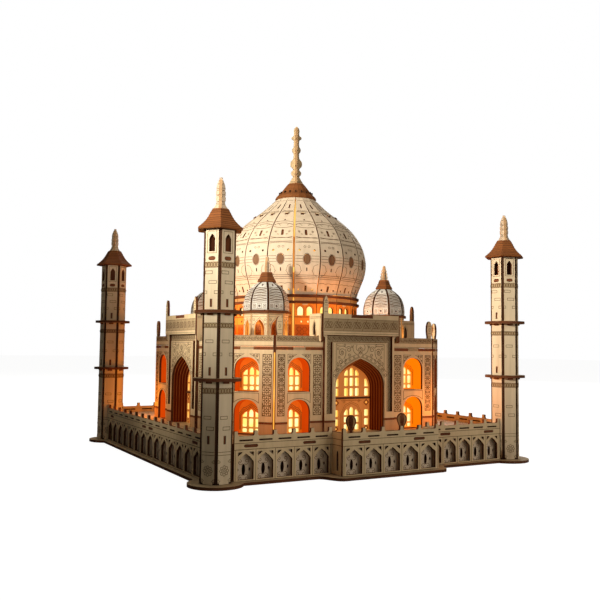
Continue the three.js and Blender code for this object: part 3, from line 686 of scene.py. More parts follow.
# ---------------------------------------------------------------- minarets
def minaret(k, corner):
    """One minaret: six strips round dark cores, two balcony rings, a stepped roof and a finial."""
    cx, cy = corner_point(k, MINARET_AT)
    aim = math.degrees(math.atan2(cy, cx)) + 83
    shaft = Build()
    apothem, foot, eaves = MINARET_R * math.cos(math.pi / 6), 3.4, 162
    for side in range(6):
        place = wall(apothem, aim + 30 + 60 * side, (cx, cy))
        draw, half = shaft.pen(place), 4.6
        holes = [mirrored([(147.9, 2.1), (156.2, 2.1), (156.9, 1.7), (157.6, 1.3), (159.3, 0)])]
        holes += [pill(-2.5, 142.2, 2.5, 144.8)]
        slots = () if side in (1, 3) else (27, 69.6, 112.6)
        holes += [rect(-0.85, z, 0.85, z + 5.2) for z in slots]
        tab = 3.4
        outer = [(-half, foot), (-tab, foot), (-tab, FOOT), (tab, FOOT), (tab, foot), (half, foot), (half, eaves),
                 (-half, eaves)]
        shaft.board(place, outer, holes, face=SHAFT)
        shaft.board(place, pill(-2.2, 142.5, 2.2, 144.5), lift=0.05, face=TAB)
        for z in slots:
            shaft.board(place, rect(-0.6, z + 0.25, 0.6, z + 4.95), thick=1.2, lift=-0.5, face=TAB)
        draw([(-3.3, 146.9), (3.3, 146.9), (3.3, 160.7), (-3.3, 160.7)], 0.28, True)
        for z0, z1 in ((137.6, 141.1), (99.5, 102.6), (58.3, 61.8)):  # the etched bands
            shaft.board(place, rect(-half + 0.1, z0, half - 0.1, z1), thick=0.16, lift=0.04, face=GROUND, edge=ETCH)
            middle, r = (z0 + z1) / 2, (z1 - z0) / 2 - 0.35
            for z in (z0, z1):
                draw([(-half + 0.1, z), (half - 0.1, z)], 0.26, lift=0.08)
            for n in range(-2, 3):
                draw(petals(n * 2.05, middle, r, 4, 0.4, 3), 0.26, True, lift=0.08)
            for n in range(-2, 2):
                draw([(n * 2.05 + 1.02, middle - r), (n * 2.05 + 1.02, middle + r)], 0.22, lift=0.08)
        bricks = [(-4.3, 133.6, 0.6, 135.5), (-1.8, 127.4, 3.6, 129.2), (-3.2, 90.1, 2.0, 91.9),
                  (-3.4, 42.5, 1.6, 44.3), (-1.4, 35.7, 3.6, 37.7)]
        for x0, z0, x1, z1 in bricks:
            draw(rect(x0, z0, x1, z1), 0.3, True)
        for z0, z1 in ((121, 122.8), (82, 83.8)):
            draw([(-half + 0.1, z0), (-3.2, z0), (-3.2, z1), (-half + 0.1, z1)], 0.3)
            draw([(half - 0.1, z0), (2.2, z0), (2.2, z1), (half - 0.1, z1)], 0.3)
        for z in (20.3, 22.2):
            draw([(-half + 0.1, z), (half - 0.1, z)], 0.3)
        draw(petals(0, 10.6, 3.3, 8, 0.26), 0.3, True)
        draw(petals(0, 10.6, 2.0, 8, 0.3, 4, math.pi / 8), 0.28, True)
        draw(oval(0, 10.6, 0.8, 0.8, 8), 0.3, True)
        for sx in (-1, 1):
            for z in (16.6, 4.9):
                draw(spiral(sx * 4.0, z, 1.25, 1.2, math.pi if sx > 0 else 0, sx, 8), 0.28)
    # Near-black posts in the corner gaps, and dark cores in the shaft and the lantern: painted shade, seen through the
    # gaps and openings.
    for side in range(6):
        a = math.radians(aim + 60 * side)
        post = (cx + 9.75 * math.cos(a), cy + 9.75 * math.sin(a))
        shaft.revolve([(1.2, 2.4), (1.2, 161.9)], 6, aim + 30 + 60 * side, post, SHADE)
    shaft.revolve([(8.3, 3), (8.3, 146)], 6, aim, (cx, cy), SHADE)
    shaft.revolve([(7.2, 146.2), (7.2, 161.8)], 6, aim, (cx, cy), TAB)
    shaft.object(f"{corner}_minaret_strips", replaces=f"{corner}_minaret_shaft")

    for name, z in (("lower_balcony", 65.9), ("upper_balcony", 108.8)):
        ring = Build()
        hexagon = oval(0, 0, 12.1, 12.1, 6, math.radians(aim))
        lay = level(z + PLY, at=(cx, cy))
        ring.board(lay, oval(0, 0, 15.5, 15.5, 40), [hexagon], face=SHADED_BASE_FACE)
        ring.etch(lay, oval(0, 0, 14.5, 14.5, 40), 0.3, True)
        for side in range(6):
            face = wall(apothem, aim + 30 + 60 * side, (cx, cy))
            ring.board(face, rect(-1.9, z - 1.3, 1.9, z - 0.1), thick=1.2, lift=1.3, face=TAB)
        ring.object(f"{corner}_{name}_ring", replaces=f"{corner}_{name}", slot="edge_wood")

    roof = Build()
    rows = [(15.9, 162.3), (16.4, 163.1), (15.5, 164.0), (13.8, 165.4), (12.2, 166.9), (10.8, 168.4), (9.6, 170.0),
            (8.5, 171.8), (7.5, 173.6), (6.5, 175.2), (5.9, 176.4)]
    roof.revolve([(0.5, 162.3), *rows, (0.5, 176.4)], 6, aim, (cx, cy), STAIN)
    for n in range(2, len(rows) - 1):
        r, z = rows[n]
        roof.revolve([(r - 0.5, z - 0.3), (r + 0.22, z - 0.22), (r + 0.2, z + 0.16), (r - 0.5, z + 0.16)], 6, aim,
                     (cx, cy), EDGE, closed=True)
    roof.object(f"{corner}_minaret_roof_panels", replaces=f"{corner}_minaret_roof", slot="walnut")

    tip = Build()
    rows = [(176.5, 5.0), (177.8, 4.0), (179.2, 3.2), (180.6, 2.8), (181.6, 2.8), (182.4, 3.1), (184.2, 3.2),
            (185.1, 2.8), (186, 3.1), (187.8, 3.1), (188.6, 2.7), (190.2, 2.9), (192.6, 2.5), (195, 1.6), (197.4, 0)]
    marks = [(179.8, 2.9), (181.2, 2.6), (185.2, 2.6), (186.1, 2.8), (188.7, 2.5), (190.1, 2.6), (193, 2.1)]
    crossed(tip, aim + 24, (cx, cy), mirrored(rows), marks, face=PALE)
    tip.object(f"{corner}_minaret_finial_boards", replaces=f"{corner}_minaret_finial")


# ---------------------------------------------------------------- hall walls
HALL, CORNER, HALL_TOP = 100.65, 71.27, 96.3
CHAMFER, CHAMFER_HALF = (HALL + CORNER) / math.sqrt(2), (HALL - CORNER) / math.sqrt(2)


def lattice(build, place, x, floor, depth, reveal):
    """The pierced window at the back of a niche: three lights across, the top row arched."""
    pitch, w = 4.85, 1.7
    high, low, mid = floor + 16.9, floor + 15.3, floor + 11.3
    holes = []
    for n in (-1, 0, 1):
        cx = x + n * pitch
        holes.append(soft(cx - w, floor + 0.4, cx + w, floor + 3.1))
        holes.append(soft(cx - w, floor + 4.2, cx + w, floor + 10.2))
        if n == 0:
            holes.append([(cx - w, mid), (cx + w, mid), (cx + w, high - 2.2), (cx + w * 0.6, high - 0.7), (cx, high),
                          (cx - w * 0.6, high - 0.7), (cx - w, high - 2.2)])
        else:
            near, far = cx - n * w, cx + n * w
            holes.append([(far, mid), (near, mid), (near, low), (near * 0.5 + far * 0.5, low - 0.9), (far, low - 2.9)])
    outer = round_arch(x, floor - 0.6, 10.2, floor + 15.4, floor + 25.2)
    build.board(place, outer, holes, thick=1.4, lift=-depth, face=NICHE if reveal is REVEAL else reveal, edge=SILL,
                back=WARM)
    lower = [hole for hole in holes if max(p[1] for p in hole) < floor + 10.5]
    build.board(place, rect(x - 7.1, floor + 0.1, x + 7.1, floor + 11.2), lower, thick=0.2, lift=0.06 - depth,
                face=BARS)
    build.sheet(place, rect(x - 9.6, floor - 0.6, x + 9.6, floor + 18.5), PANE, -depth - 2.6)
    for k in range(3):
        w = 8.0 + k * 0.75
        up = floor + 18.6 + k * 1.1
        right = [(w, floor + 2), (w, floor + 12.6 + k * 0.4), (w * 0.62, up - 2.9), (w * 0.5, up - 2.9), (0, up)]
        line = [(x + px, py) for px, py in right] + [(x - px, py) for px, py in reversed(right[:-1])]
        build.etch(lambda px, py, d=0.0: place(px, py, d - depth), line, 0.32)


def niche(build, place, x, floor, reveal):
    """The depth behind an arched opening: its reveal, its sill and the window at its back."""
    loop = round_arch(x, floor, NICHE_HALF, floor + 15.4, floor + 24.6, 12)
    build.sweep(place, loop[1:] + loop[:1], -0.9, reveal, near=-PLY + 0.05, far=-11.6)
    build.board(place, rect(x - 9.6, floor - 1.6, x + 9.6, floor - 0.1), thick=10.2, lift=-PLY + 0.1, face=WARM)
    lattice(build, place, x, floor + 0.3, 11.4, reveal)


def tile(build, place, cx, cy, w, h):
    """One etched rosette tile of the vertical borders."""
    draw = build.pen(place, lift=0.07)
    draw(rect(cx - w, cy - h, cx + w, cy + h), 0.38, True)
    draw(petals(cx, cy, min(w, h) * 0.6, 8, 0.3, 2), 0.48, True, lift=0.06)
    draw(oval(cx, cy, 0.42, 0.42, 6), 0.6, True)
    for sx in (-1, 1):
        for sy in (-1, 1):
            px, py, a, b = cx + sx * w * 0.66, cy + sy * h * 0.68, w * 0.22, h * 0.2
            draw(rect(px - a, py - b, px + a, py + b), 0.34, True)
        draw([(cx + sx * w * 0.72, cy - 0.5), (cx + sx * w * 0.72, cy + 0.5)], 0.5)
        draw([(cx - 0.4, cy + sx * h * 0.76), (cx + 0.4, cy + sx * h * 0.76)], 0.5)


def frieze(build, place, x0, x1, y0, y1, pitch):
    """A dense running pattern: scrolls and leaves between two fillets."""
    build.sheet(place, rect(x0, y0, x1, y1), GROUND, *INLAY)
    draw = build.pen(place, lift=0.07)
    for y in (y0, y1):
        draw([(x0, y), (x1, y)], 0.26)
    count = max(2, round((x1 - x0) / pitch))
    step = (x1 - x0) / count
    middle, tall = (y0 + y1) / 2, (y1 - y0) / 2 - 0.3
    wave = [(x0 + k * step / 6, middle + tall * 0.62 * math.sin(k * math.pi / 3)) for k in range(count * 6 + 1)]
    draw(wave, 0.3)
    for k in range(count):
        x = x0 + (k + 0.25) * step
        for s, cx in ((-1, x), (1, x + step / 2)):
            draw(spiral(cx, middle + s * tall * 0.2, tall * 0.55, 1.1, -s * math.pi / 2, -1, 7), 0.26)
        for s in (-1, 1):
            draw([(x + s * step * 0.25, middle + s * tall), (x + s * step * 0.12, middle + s * tall * 0.4)], 0.26)


def spandrels(build, place, x, half, low, high, reach):
    """Etched corner pieces above a niche arch."""
    draw = build.pen(place, lift=0.07)
    for side in (-1, 1):
        edge = x + side * half
        line = [(edge, high), (edge - side * reach, high)]
        line += bezier((edge - side * reach, high), (edge - side * reach * 0.45, high - 1.6),
                       (edge - side * 0.9, high - 4.5), (edge, low), 5)[1:]
        draw(line, 0.34, True)
        for inset, drop, r, turns, start, way, count, width in (
            (1.7, 1.6, 1.15, 1.2, 0.5, side, 8, 0.42), (4.0, 1.1, 0.75, 1.1, 2.5, -side, 6, 0.38),
            (0.9, 4.4, 0.7, 1.1, 1.0, side, 6, 0.38)
        ):
            draw(spiral(edge - side * inset, high - drop, r, turns, start, way, count), width)


def dado(build, place, x0, x1):
    """The foot of a wall under its cap strip, warmer in colour: painted glow from the lit court."""
    build.board(place, rect(x0, 33.7, x1, 35.2), thick=0.6, lift=0.4, face=TAB)
    build.sheet(place, rect(x0, 25.8, x1, 33.6), DADO, *INLAY)


def wing(build, place, x0, x1, nx, tiles, reveal):
    """One hall wall board pair, below and above the roof line, with its two niches."""
    foot, upper, head, half = HALL_FOOT, 56.1, 86.0, NICHE_HALF
    low, high = round_arch(nx, foot, half, 41.1, 50.7, 12), round_arch(nx, upper, half, 71.5, 80.7, 12)
    outline = [(x0, foot), (nx - half, foot), *low[2:][::-1], (nx + half, foot), (x1, foot), (x1, head),
               (nx + 4.9, head), (nx + 4.9, 88.25), (nx - 4.9, 88.25), (nx - 4.9, head), (x0, head)]
    build.board(place, clean(outline), [high])
    build.board(place, [(x0, 88.3), (nx - 5.1, 88.3), (nx - 5.1, 88.45), (nx + 5.1, 88.45), (nx + 5.1, 88.3),
                        (x1, 88.3), (x1, HALL_TOP), (x0, HALL_TOP)])
    for a, b in ((x0 + 0.05, nx - 5.0), (nx + 5.0, x1 - 0.05)):
        build.board(place, rect(a, 86.1, b, 88.2), thick=2.3, lift=0.12, face=TAB)
    build.board(place, pill(nx - 4.8, 86.25, nx + 4.8, 88.05), thick=0.8, lift=0.35, face=GROUND)
    for floor in (foot, upper):
        niche(build, place, nx, floor, reveal)
    for side in (-1, 1):
        dado(build, place, *sorted((nx + side * 9.45, x0 if side < 0 else x1)))
    for cx, w in tiles:
        for n in range(6):
            tile(build, place, cx, 79.35 - 7.3 * n, w, 3.35)
    spandrels(build, place, nx, 9.4, 76.2, 83.0, 7.4)
    build.etch(place, [(nx - 9.35, 48.2), (nx - 9.35, 55.3), (nx + 9.35, 55.3), (nx + 9.35, 48.2)], 0.34)
    build.etch(place, bezier((nx - 9.3, 48.3), (nx - 5.5, 52.6), (nx + 5.5, 52.6), (nx + 9.3, 48.3), 10), 0.34)
    frieze(build, place, x0 + 0.3, x1 - 0.3, 92.2, 96.0, 4.6)
    build.etch(place, [(x0, 89.0), (x1, 89.0)], 0.24)


OBELISK = [(0, 0.5), (0.45, 0.5), (0.55, 0.42), (0.62, 0.5), (0.8, 0.36), (0.92, 0.2), (1.0, 0)]
BULB = [(0, 0.34), (0.12, 0.36), (0.3, 0.46), (0.5, 0.5), (0.7, 0.47), (0.85, 0.38), (0.95, 0.24), (1.0, 0)]


def pinnacle(build, place, x, foot, width, tall, shape=OBELISK):
    """A flat-cut spire or bulb from its shape's [part of height, part of width] rows."""
    build.board(place, mirrored([(foot + tall * y, width * w) for y, w in shape], x))
    bands, eye = ((0.1, 0.3, 0.72), 0.5) if shape is BULB else ((0.1, 0.3, 0.47, 0.6, 0.72), 0.68)
    for y in bands:
        build.etch(place, [(x - width * 0.34, foot + tall * y), (x + width * 0.34, foot + tall * y)], 0.26)
    build.etch(place, almond(x, foot + tall * eye, width * 0.16, tall * 0.1, 3), 0.22, True)


def hall():
    """The four corners of the hall, each a wing, a chamfer and the next wing, with lit seams between."""
    for k, corner in enumerate(CORNERS):
        build = Build()
        inner, end = 31.5, CORNER - 1.1
        wings = ((-90, HALL, -end, -inner, -51.3, ((-65.8, 2.7), (-36.2, 3.3))),
                 (-135, CHAMFER, -CHAMFER_HALF + 1.1, CHAMFER_HALF - 1.1, 0, ((-15.3, 3.3), (15.3, 3.3))),
                 (180, HALL, inner, end, 51.3, ((65.8, 2.7), (36.2, 3.3))))
        for angle, face, x0, x1, nx, tiles in wings:
            wing(build, wall(face, angle), x0, x1, nx, tiles, BLAZE if k == 1 and angle == 180 else REVEAL)
        for angle, x in ((-90, 2.5 - end), (180, end - 2.5)):
            pinnacle(build, wall(HALL, angle), x, HALL_TOP - 0.05, 4.8, 13.6, BULB)
        for x, y in ((-CORNER, -HALL), (-HALL, -CORNER)):
            angle = math.degrees(math.atan2(y, x))
            radius = math.hypot(x, y)
            glow = wall(radius - 1.7, angle)
            build.sheet(glow, rect(-1.3, 27, 1.3, 84), GLOW, thick=0.5)
            build.board(glow, rect(-1.3, 84.2, 1.3, 96), thick=0.5, face=TAB)
        build.object(f"{corner}_hall_boards", 90 * k, replaces=f"{corner}_hall_wall")


# ---------------------------------------------------------------- portals
def portal_arch(half, spring, apex, count=14):
    """The pointed arch shared by a portal's boards."""
    return arch(0, HALL_FOOT, half, spring, apex, count, 0.42)


def arabesque(build, place):
    """Foliage etched in the portal's spandrels and over the arch."""
    for side in (-1, 1):
        def put(points, width=0.34, closed=False, side=side):
            build.etch(place, [(side * x, y) for x, y in points], width, closed, lift=0.06)

        put([(21.6, 67.2), (21.6, 91.0), (0, 91.0)], 0.3)
        for x, y, r, turns, start, way, count, width in (
            (16.6, 84.6, 3.0, 1.5, 2.6, -1, 16, 0.36), (17.6, 77.8, 2.2, 1.4, 1.4, 1, 13, 0.36),
            (10.6, 86.9, 2.4, 1.4, 0.4, 1, 13, 0.36), (10.2, 82.6, 1.5, 1.3, -1.2, -1, 10, 0.34),
            (19.4, 72.6, 1.2, 1.2, 0.4, -1, 9, 0.34)
        ):
            put(spiral(x, y, r, turns, start, way, count), width)
        put(bezier((21.0, 90.2), (19.0, 88.0), (14.8, 90.6), (13.2, 88.2), 7), 0.36)
        put(bezier((13.4, 87.0), (12.6, 84.2), (13.6, 81.6), (15.0, 79.8), 6), 0.36)
        put(bezier((6.4, 90.2), (7.6, 87.4), (6.4, 84.4), (3.8, 83.6), 7), 0.36)
        put(bezier((3.2, 90.4), (4.6, 88.6), (4.0, 86.8), (2.4, 85.8), 6), 0.34)
        for x, y, r in ((14.2, 90.0, 0.9), (18.9, 81.0, 0.9), (7.8, 88.9, 0.8), (13.0, 79.0, 0.8), (19.9, 87.4, 0.9)):
            put(petals(x, y, r, 5, 0.35, 2), 0.26, True)
        put(almond(16.6, 84.6, 0.7, 1.1, 3), 0.3, True)
        put(almond(20.2, 76.0, 0.6, 1.3, 3), 0.3, True)
    draw = build.pen(place, lift=0.06)
    draw(petals(0, 86.6, 2.3, 5, 0.4, 3, math.pi / 2), 0.34, True)
    draw(almond(0, 86.6, 0.7, 1.3, 3), 0.34, True)
    draw(mirrored([(83.4, 0), (84.4, 1.4), (85.0, 0.9)]), 0.32, True)


def portal_back(build, place):
    """The pierced panel at the back of the portal: great window above, door below."""
    holes = []
    middle, outer = 1.65, 1.75  # half widths of the lights in the middle and at the sides
    for n in (-1, 0, 1):
        x, lean = n * 4.9, 0.9 * n
        for z0, z1 in ((51.6, 57.5), (59.1, 65.4), (26.2, 30.4), (31.8, 36.0)):
            holes.append(soft(x - middle, z0, x + middle, z1))
        for z0, top in ((67.0, 73.0 if n == 0 else 71.2), (37.3, 43.4 if n == 0 else 41.4)):
            holes.append([(x - middle, z0), (x + middle, z0), (x + middle, top - 1.9 - lean),
                          (x + 0.9, top - 0.5 - lean), (x - 0.3 * n, top), (x - 0.9, top - 0.5 + lean),
                          (x - middle, top - 1.9 + lean)])
    for side in (-1, 1):
        x = side * 13.6
        holes.append(soft(x - outer, 51.6, x + outer, 57.3))
        right, left = ((0.9, 62.2), (outer, 64.4)) if side > 0 else ((outer, 64.4), (0.9, 62.2))
        holes.append([(x - outer, 58.7), (x + outer, 58.7), (x + right[0], right[1]), (x - 0.2 * side, 64.6),
                      (x - left[0], left[1])])
        for z in (29.4, 36.2):
            holes.append(soft(x - outer, z, x + outer, z + 5.0))
        holes += [oval(x, 46.6, 0.7, 0.7, 8), oval(x, 27.2, 0.6, 0.6, 8)]
    build.board(place, portal_arch(20, 60, 77.5), holes, face=WARM, edge=SILL, back=WARM)
    build.sheet(place, rect(-19.5, 25.9, 19.5, 76), PANE, -4.2)
    build.board(place, rect(-18.6, 49.5, 18.6, 50.9), thick=1.0, lift=0.9, face=EDGE)
    draw = build.pen(place, material=LAYER)
    for k in range(2):
        w, up = 8.2 + k * 1.2, 45.6 + k * 1.1
        draw([(-w, 26.2), (-w, 38.6), (-w * 0.62, up - 1.8), (0, up + 0.6), (w * 0.62, up - 1.8), (w, 38.6),
              (w, 26.2)], 0.26)
    for side in (-1, 1):
        x = side * 13.6
        for z, r in ((46.6, 2.1), (27.2, 1.6)):
            draw([(x - r, z), (x, z - r), (x + r, z), (x, z + r)], 0.75, True)
        draw(spiral(side * 6.8, 47.6, 1.3, 1.2, 0, side, 8), 0.28)
    draw([(-9.5, 48.2), (9.5, 48.2)], 0.3)


def pearls(build, place, curve):
    """The tapering border of pearls between two lines, outside the arch."""
    last = len(curve) - 1
    for hand in (-1, 1):
        outer_line, inner_line = [], []
        for n in range(4, last + 1):
            (x0, y0), (x1, y1) = curve[n - 1], curve[min(n + 1, last)]
            size = math.hypot(x1 - x0, y1 - y0)
            nx, ny = (y1 - y0) / size, (x0 - x1) / size
            x, y = curve[n]
            t = n / last
            mid, r = 3.3 - 0.6 * t, 1.35 - 0.65 * t
            for line, d in ((outer_line, mid + r + 0.45), (inner_line, mid - r - 0.4)):
                px, py = x + nx * d, y + ny * d
                if 0.2 < px < 24.2:
                    line.append((hand * px, py))
            if n % 3 == 2 and x + nx * mid < 23.2:
                pearl = oval(hand * (x + nx * mid), y + ny * mid, r * 0.78, r * 0.78, 8)
                build.etch(place, pearl, 0.34, True, lift=0.06)
        for line in (outer_line, inner_line):
            if len(line) > 2:
                build.etch(place, line, 0.3, lift=0.06)


def portal(k, side_name):
    """One portal: front board, band, arch layers, cornice, pierced back, raised block and spires."""
    build = Build()
    front, sunk, cornice = (wall(PORTAL_FACE + step, -90) for step in (0, -PLY, PLY))
    half, span, spring, apex, foot = 31.2, 21.7, 60, 80.2, HALL_FOOT
    plate = [(-33.8, 97.4), (33.8, 97.4), (33.8, 112.9), (9.7, 112.9), (9.7, 110.3), (-9.7, 110.3), (-9.7, 112.9),
             (-33.8, 112.9)]
    outline = [(-half, foot), (-span, foot), *portal_arch(span, spring, apex)[2:][::-1], (span, foot), (half, foot),
               (half, 95.4), *plate[1:], plate[0], (-half, 95.4)]
    inner, outside, low, shoulder, top = 24.8, 29.4, 40, 92, 97.2
    band = [(-outside, low), (-inner, low), (-inner, shoulder), (inner, shoulder), (inner, low), (outside, low),
            (outside, top), (-outside, top)]
    build.board(front, clean(outline), [band])
    frieze(build, sunk, -29.3, 29.3, 92.3, 97.0, 5.0)
    for s in (-1, 1):
        frieze(build, lambda x, y, d=0.0: sunk(s * 27.1 - y, x, d), 40.1, 92.2, -2.2, 2.2, 5.0)
        dado(build, front, *sorted((s * 21.9, s * 31.1)))
        build.etch(front, [(s * 24.2, 40), (s * 24.2, 91.4)], 0.26)
    build.etch(front, portal_arch(22.4, 60, 81.2)[1:], 0.26)
    pearls(build, front, portal_arch(span, spring, apex, 24)[2:27])
    arabesque(build, front)
    build.board(cornice, plate)
    frieze(build, cornice, -33.5, 33.5, 100.4, 109.2, 8.4)
    inlay = wall(104.98, -90)
    for n in range(8):
        build.etch(inlay, petals(-33.5 + 67 / 8 * (n + 0.5), 104.8, 2.5, 6, 0.3, 3), 0.26, True, lift=0.07)
    build.etch(cornice, [(-33.7, 98.6), (33.7, 98.6)], 0.26)
    build.board(cornice, rect(-9.4, 110.4, 9.4, 112.7), thick=5.6, lift=0.1, face=TAB)
    build.etch(cornice, [(-8.8, 111.5), (8.8, 111.5)], 0.5, lift=0.14, material=EDGE)
    for layer in range(5):
        step = layer + 1.0
        hole = portal_arch(span - step, spring - step * 0.3, apex - step)
        w, up = (31.1, 98.3) if layer == 0 else (26, 85.8)
        outer = [(-w, foot), (step - span, foot), *hole[2:][::-1], (span - step, foot), (w, foot), (w, up), (-w, up)]
        build.board(wall(100.92 - 2 * layer, -90), clean(outer), thick=1.92, face=LAYER, edge=LAYER_EDGE)
    portal_back(build, wall(90.9, -90))

    # The raised block: side panels that hook over the hall, and its back.
    for s in (-1, 1):
        face = wall(35.3, 0 if s > 0 else 180)
        points = [(-87.2, 88.5), (-98.3, 88.5), (-98.3, 96.7), (-100.95, 96.7), (-100.95, 93.2), (-102.6, 92.0),
                  (-104.15, 93.4), (-104.15, 112.1), (-102.8, 112.9), (-87.2, 112.9)]
        points = [(s * x, y) for x, y in points]
        slit = mirrored([(97.4, 1.55), (103.2, 1.55), (105.6, 1.0), (107.6, 0)], s * -94)
        build.board(face, points[::-s], [slit])
        for y in (109.6, 110.6):
            build.etch(face, [(s * -88.0, y), (s * -103.6, y)], 0.3)
        build.etch(face, mirrored([(97.2, 2.3), (103.6, 2.3), (106.2, 1.6), (108.6, 0)], s * -94)[1:], 0.26)
    build.board(wall(90.2, -90), rect(-33.3, 88.5, 33.3, 112.9))
    rear = wall(-88.2, 90)
    frieze(build, rear, -33, 33, 100.4, 109.2, 8.4)
    build.etch(rear, [(-33, 98.6), (33, 98.6)], 0.26)

    # Spires: on the front portal only the left one is there.
    for s in (-1,) if k == 0 else (-1, 1):
        pinnacle(build, cornice, s * 31.8, 112.85, 4.0, 13.2)
    build.object(f"{side_name}_portal_boards", 90 * k, replaces=f"{side_name}_portal")


# ---------------------------------------------------------------- roof, drum and dome
def roof():
    """The roof plate with its etched rings and paving."""
    build = Build()
    edge, corner = 98.3, 70.4
    outer = quarter_turns([(-corner, -edge), (corner, -edge)])
    build.board(level(ROOF_TOP), outer, [oval(0, 0, 48, 48, 48)], face=SHADED_BASE_FACE)
    for r in (58.5, 60.5):
        build.etch(level(ROOF_TOP), oval(0, 0, r, r, 54), 0.3, True)
    for k in range(4):
        draw = build.pen(level(ROOF_TOP, k))
        for y in (-66, -72, -78, -84):
            draw([(-34, y), (34, y)], 0.28)
        for n in range(-4, 5):
            draw([(n * 8, -64), (n * 8, -86)], 0.26)
    build.object("roof_board", replaces="roof_plate")


GORES = 18
DRUM_R = 54.7
DRUM_FACE = DRUM_R * math.cos(math.pi / GORES)
LIT_SEAMS = (0, 6, 12)


def drum():
    """Eighteen sides with two windows each, stained bands, lit seams and two ring plates; the sides' orange and the
    faint glow of the bands are painted light from inside.
    """
    build = Build()
    half = DRUM_R * math.sin(math.pi / GORES)
    windows, light, gap, lit_gap = (-3.75, 3.75), 2.35, 0.25, 1.0
    for side in range(GORES):
        place = wall(DRUM_FACE, (side + 0.5) * 360 / GORES)
        x0 = -half + (lit_gap if side in LIT_SEAMS else gap)
        x1 = half - (lit_gap if (side + 1) % GORES in LIT_SEAMS else gap)
        holes = []
        for cx in windows:
            holes.append(arch(cx, 113.6, light, 118.2, 120.9, 5, 0.6))
            holes.append(oval(cx * 0.72, 108.7, 0.85, 0.85, 8))
        build.board(place, rect(x0, 88.5, x1, 123.2), holes, face=DRUM)
        build.sheet(place, rect(-half + 1.4, 106.5, half - 1.4, 122), PANE, -3.2)
        for cx in windows:
            for grow in (0.55, 1.15):
                mould = arch(cx, 113.4, light + grow, 118.2, 120.9 + grow * 1.2, 5, 0.6)
                build.etch(place, mould[1:], 0.26, material=BROWN)
        build.board(place, rect(x0, 111.9, x1, 112.7), thick=0.5, lift=0.35, face=BROWN, edge=EDGE)
        build.board(place, pill(-2.3, 121.9, 2.3, 123.15), thick=0.6, lift=0.3, face=FACE)
        build.sheet(place, rect(x0 + 0.6, 90, x1 - 0.6, 106.3), BROWN, *INLAY)
        for cx in (-4.6, 0, 4.6):
            for cy in (93.2, 97.8, 102.6):
                build.etch(place, petals(cx, cy, 2.0, 6, 0.35, 3), 0.3, True, lift=0.08, material=DRUM_LINE)
        build.board(place, rect(x0, 125.4, x1, 128.2), face=NECK, lift=0.1)
        if side in LIT_SEAMS:
            seam = wall(DRUM_R - 2.4, side * 360 / GORES)
            for z0, z1 in ((89, 122.9), (125.6, 128)):
                build.sheet(seam, rect(-1.6, z0, 1.6, z1), GLOW)
        else:
            build.board(wall(DRUM_R - 1.4, side * 360 / GORES), rect(-0.8, 89, 0.8, 128), thick=0.4, face=EDGE)
    for z0, z1, r in ((123.3, 125.3, 56.5), (128.3, 130.3, 56.3)):
        build.revolve([(52.6, z0), (r, z0), (r, z1), (52.6, z1)], GORES, 0, material=EDGE, closed=True)
    build.object("drum_boards", replaces="drum")


PROFILE = [(130.6, 54.3), (135, 55.6), (142, 58.3), (148.4, 60.7), (156, 62.1), (163, 61.9), (174.3, 58.8),
           (185.8, 51.8), (194, 43.8), (201.2, 34.9), (207.8, 26.8), (218.6, 15.4)]  # the dome's [height, radius]


def dome_radius(z, rows=PROFILE):
    """Smooth radius through the profile's [height, radius] rows."""
    z = min(max(z, rows[0][0]), rows[-1][0])
    k = max(n for n in range(len(rows) - 1) if rows[n][0] <= z)
    z0, r0 = rows[k]
    z1, r1 = rows[k + 1]
    before = rows[k - 1] if k else (2 * z0 - z1, 2 * r0 - r1)
    after = rows[k + 2] if k + 2 < len(rows) else (2 * z1 - z0, 2 * r1 - r0)
    s0 = (r1 - before[1]) / (z1 - before[0])
    s1 = (after[1] - r0) / (after[0] - z0)
    t = (z - z0) / (z1 - z0)
    h = z1 - z0
    a, b = (1 + 2 * t) * (1 - t) ** 2, t * (1 - t) ** 2 * h
    c, d = t * t * (3 - 2 * t), t * t * (t - 1) * h
    return a * r0 + b * s0 + c * r1 + d * s1


def gore(angle, sides, rows, at=(0.0, 0.0)):
    """The bent surface of one gore: x across it, y height, d along its outward normal."""
    turn = math.radians(angle)
    ca, sa = math.cos(turn), math.sin(turn)
    flat = math.cos(math.pi / sides)

    def place(x, y, d=0.0):
        r = dome_radius(y, rows) * flat
        slope = (dome_radius(y + 0.2, rows) - dome_radius(y - 0.2, rows)) / 0.4
        size = math.hypot(1, slope)
        out, up = r + d / size, y - d * slope / size
        return at[0] + ca * out - sa * x, at[1] + sa * out + ca * x, up

    return place


BAR_FACES = [[0, 1, 5, 4], [1, 2, 6, 5], [2, 3, 7, 6], [3, 0, 4, 7], [3, 2, 1, 0], [4, 5, 6, 7]]


def rib(build, angle, rows, z0, z1, wide, deep, look, at=(0.0, 0.0)):
    """One straight length of the bar behind a seam between two gores."""
    place = wall(0, angle, at)
    corners = []
    for z in (z0, z1):
        r = dome_radius(z, rows) - deep
        corners += [place(-wide, z, r), place(wide, z, r), place(wide, z, r - 0.8), place(-wide, z, r - 0.8)]
    build.add(corners, BAR_FACES, look)


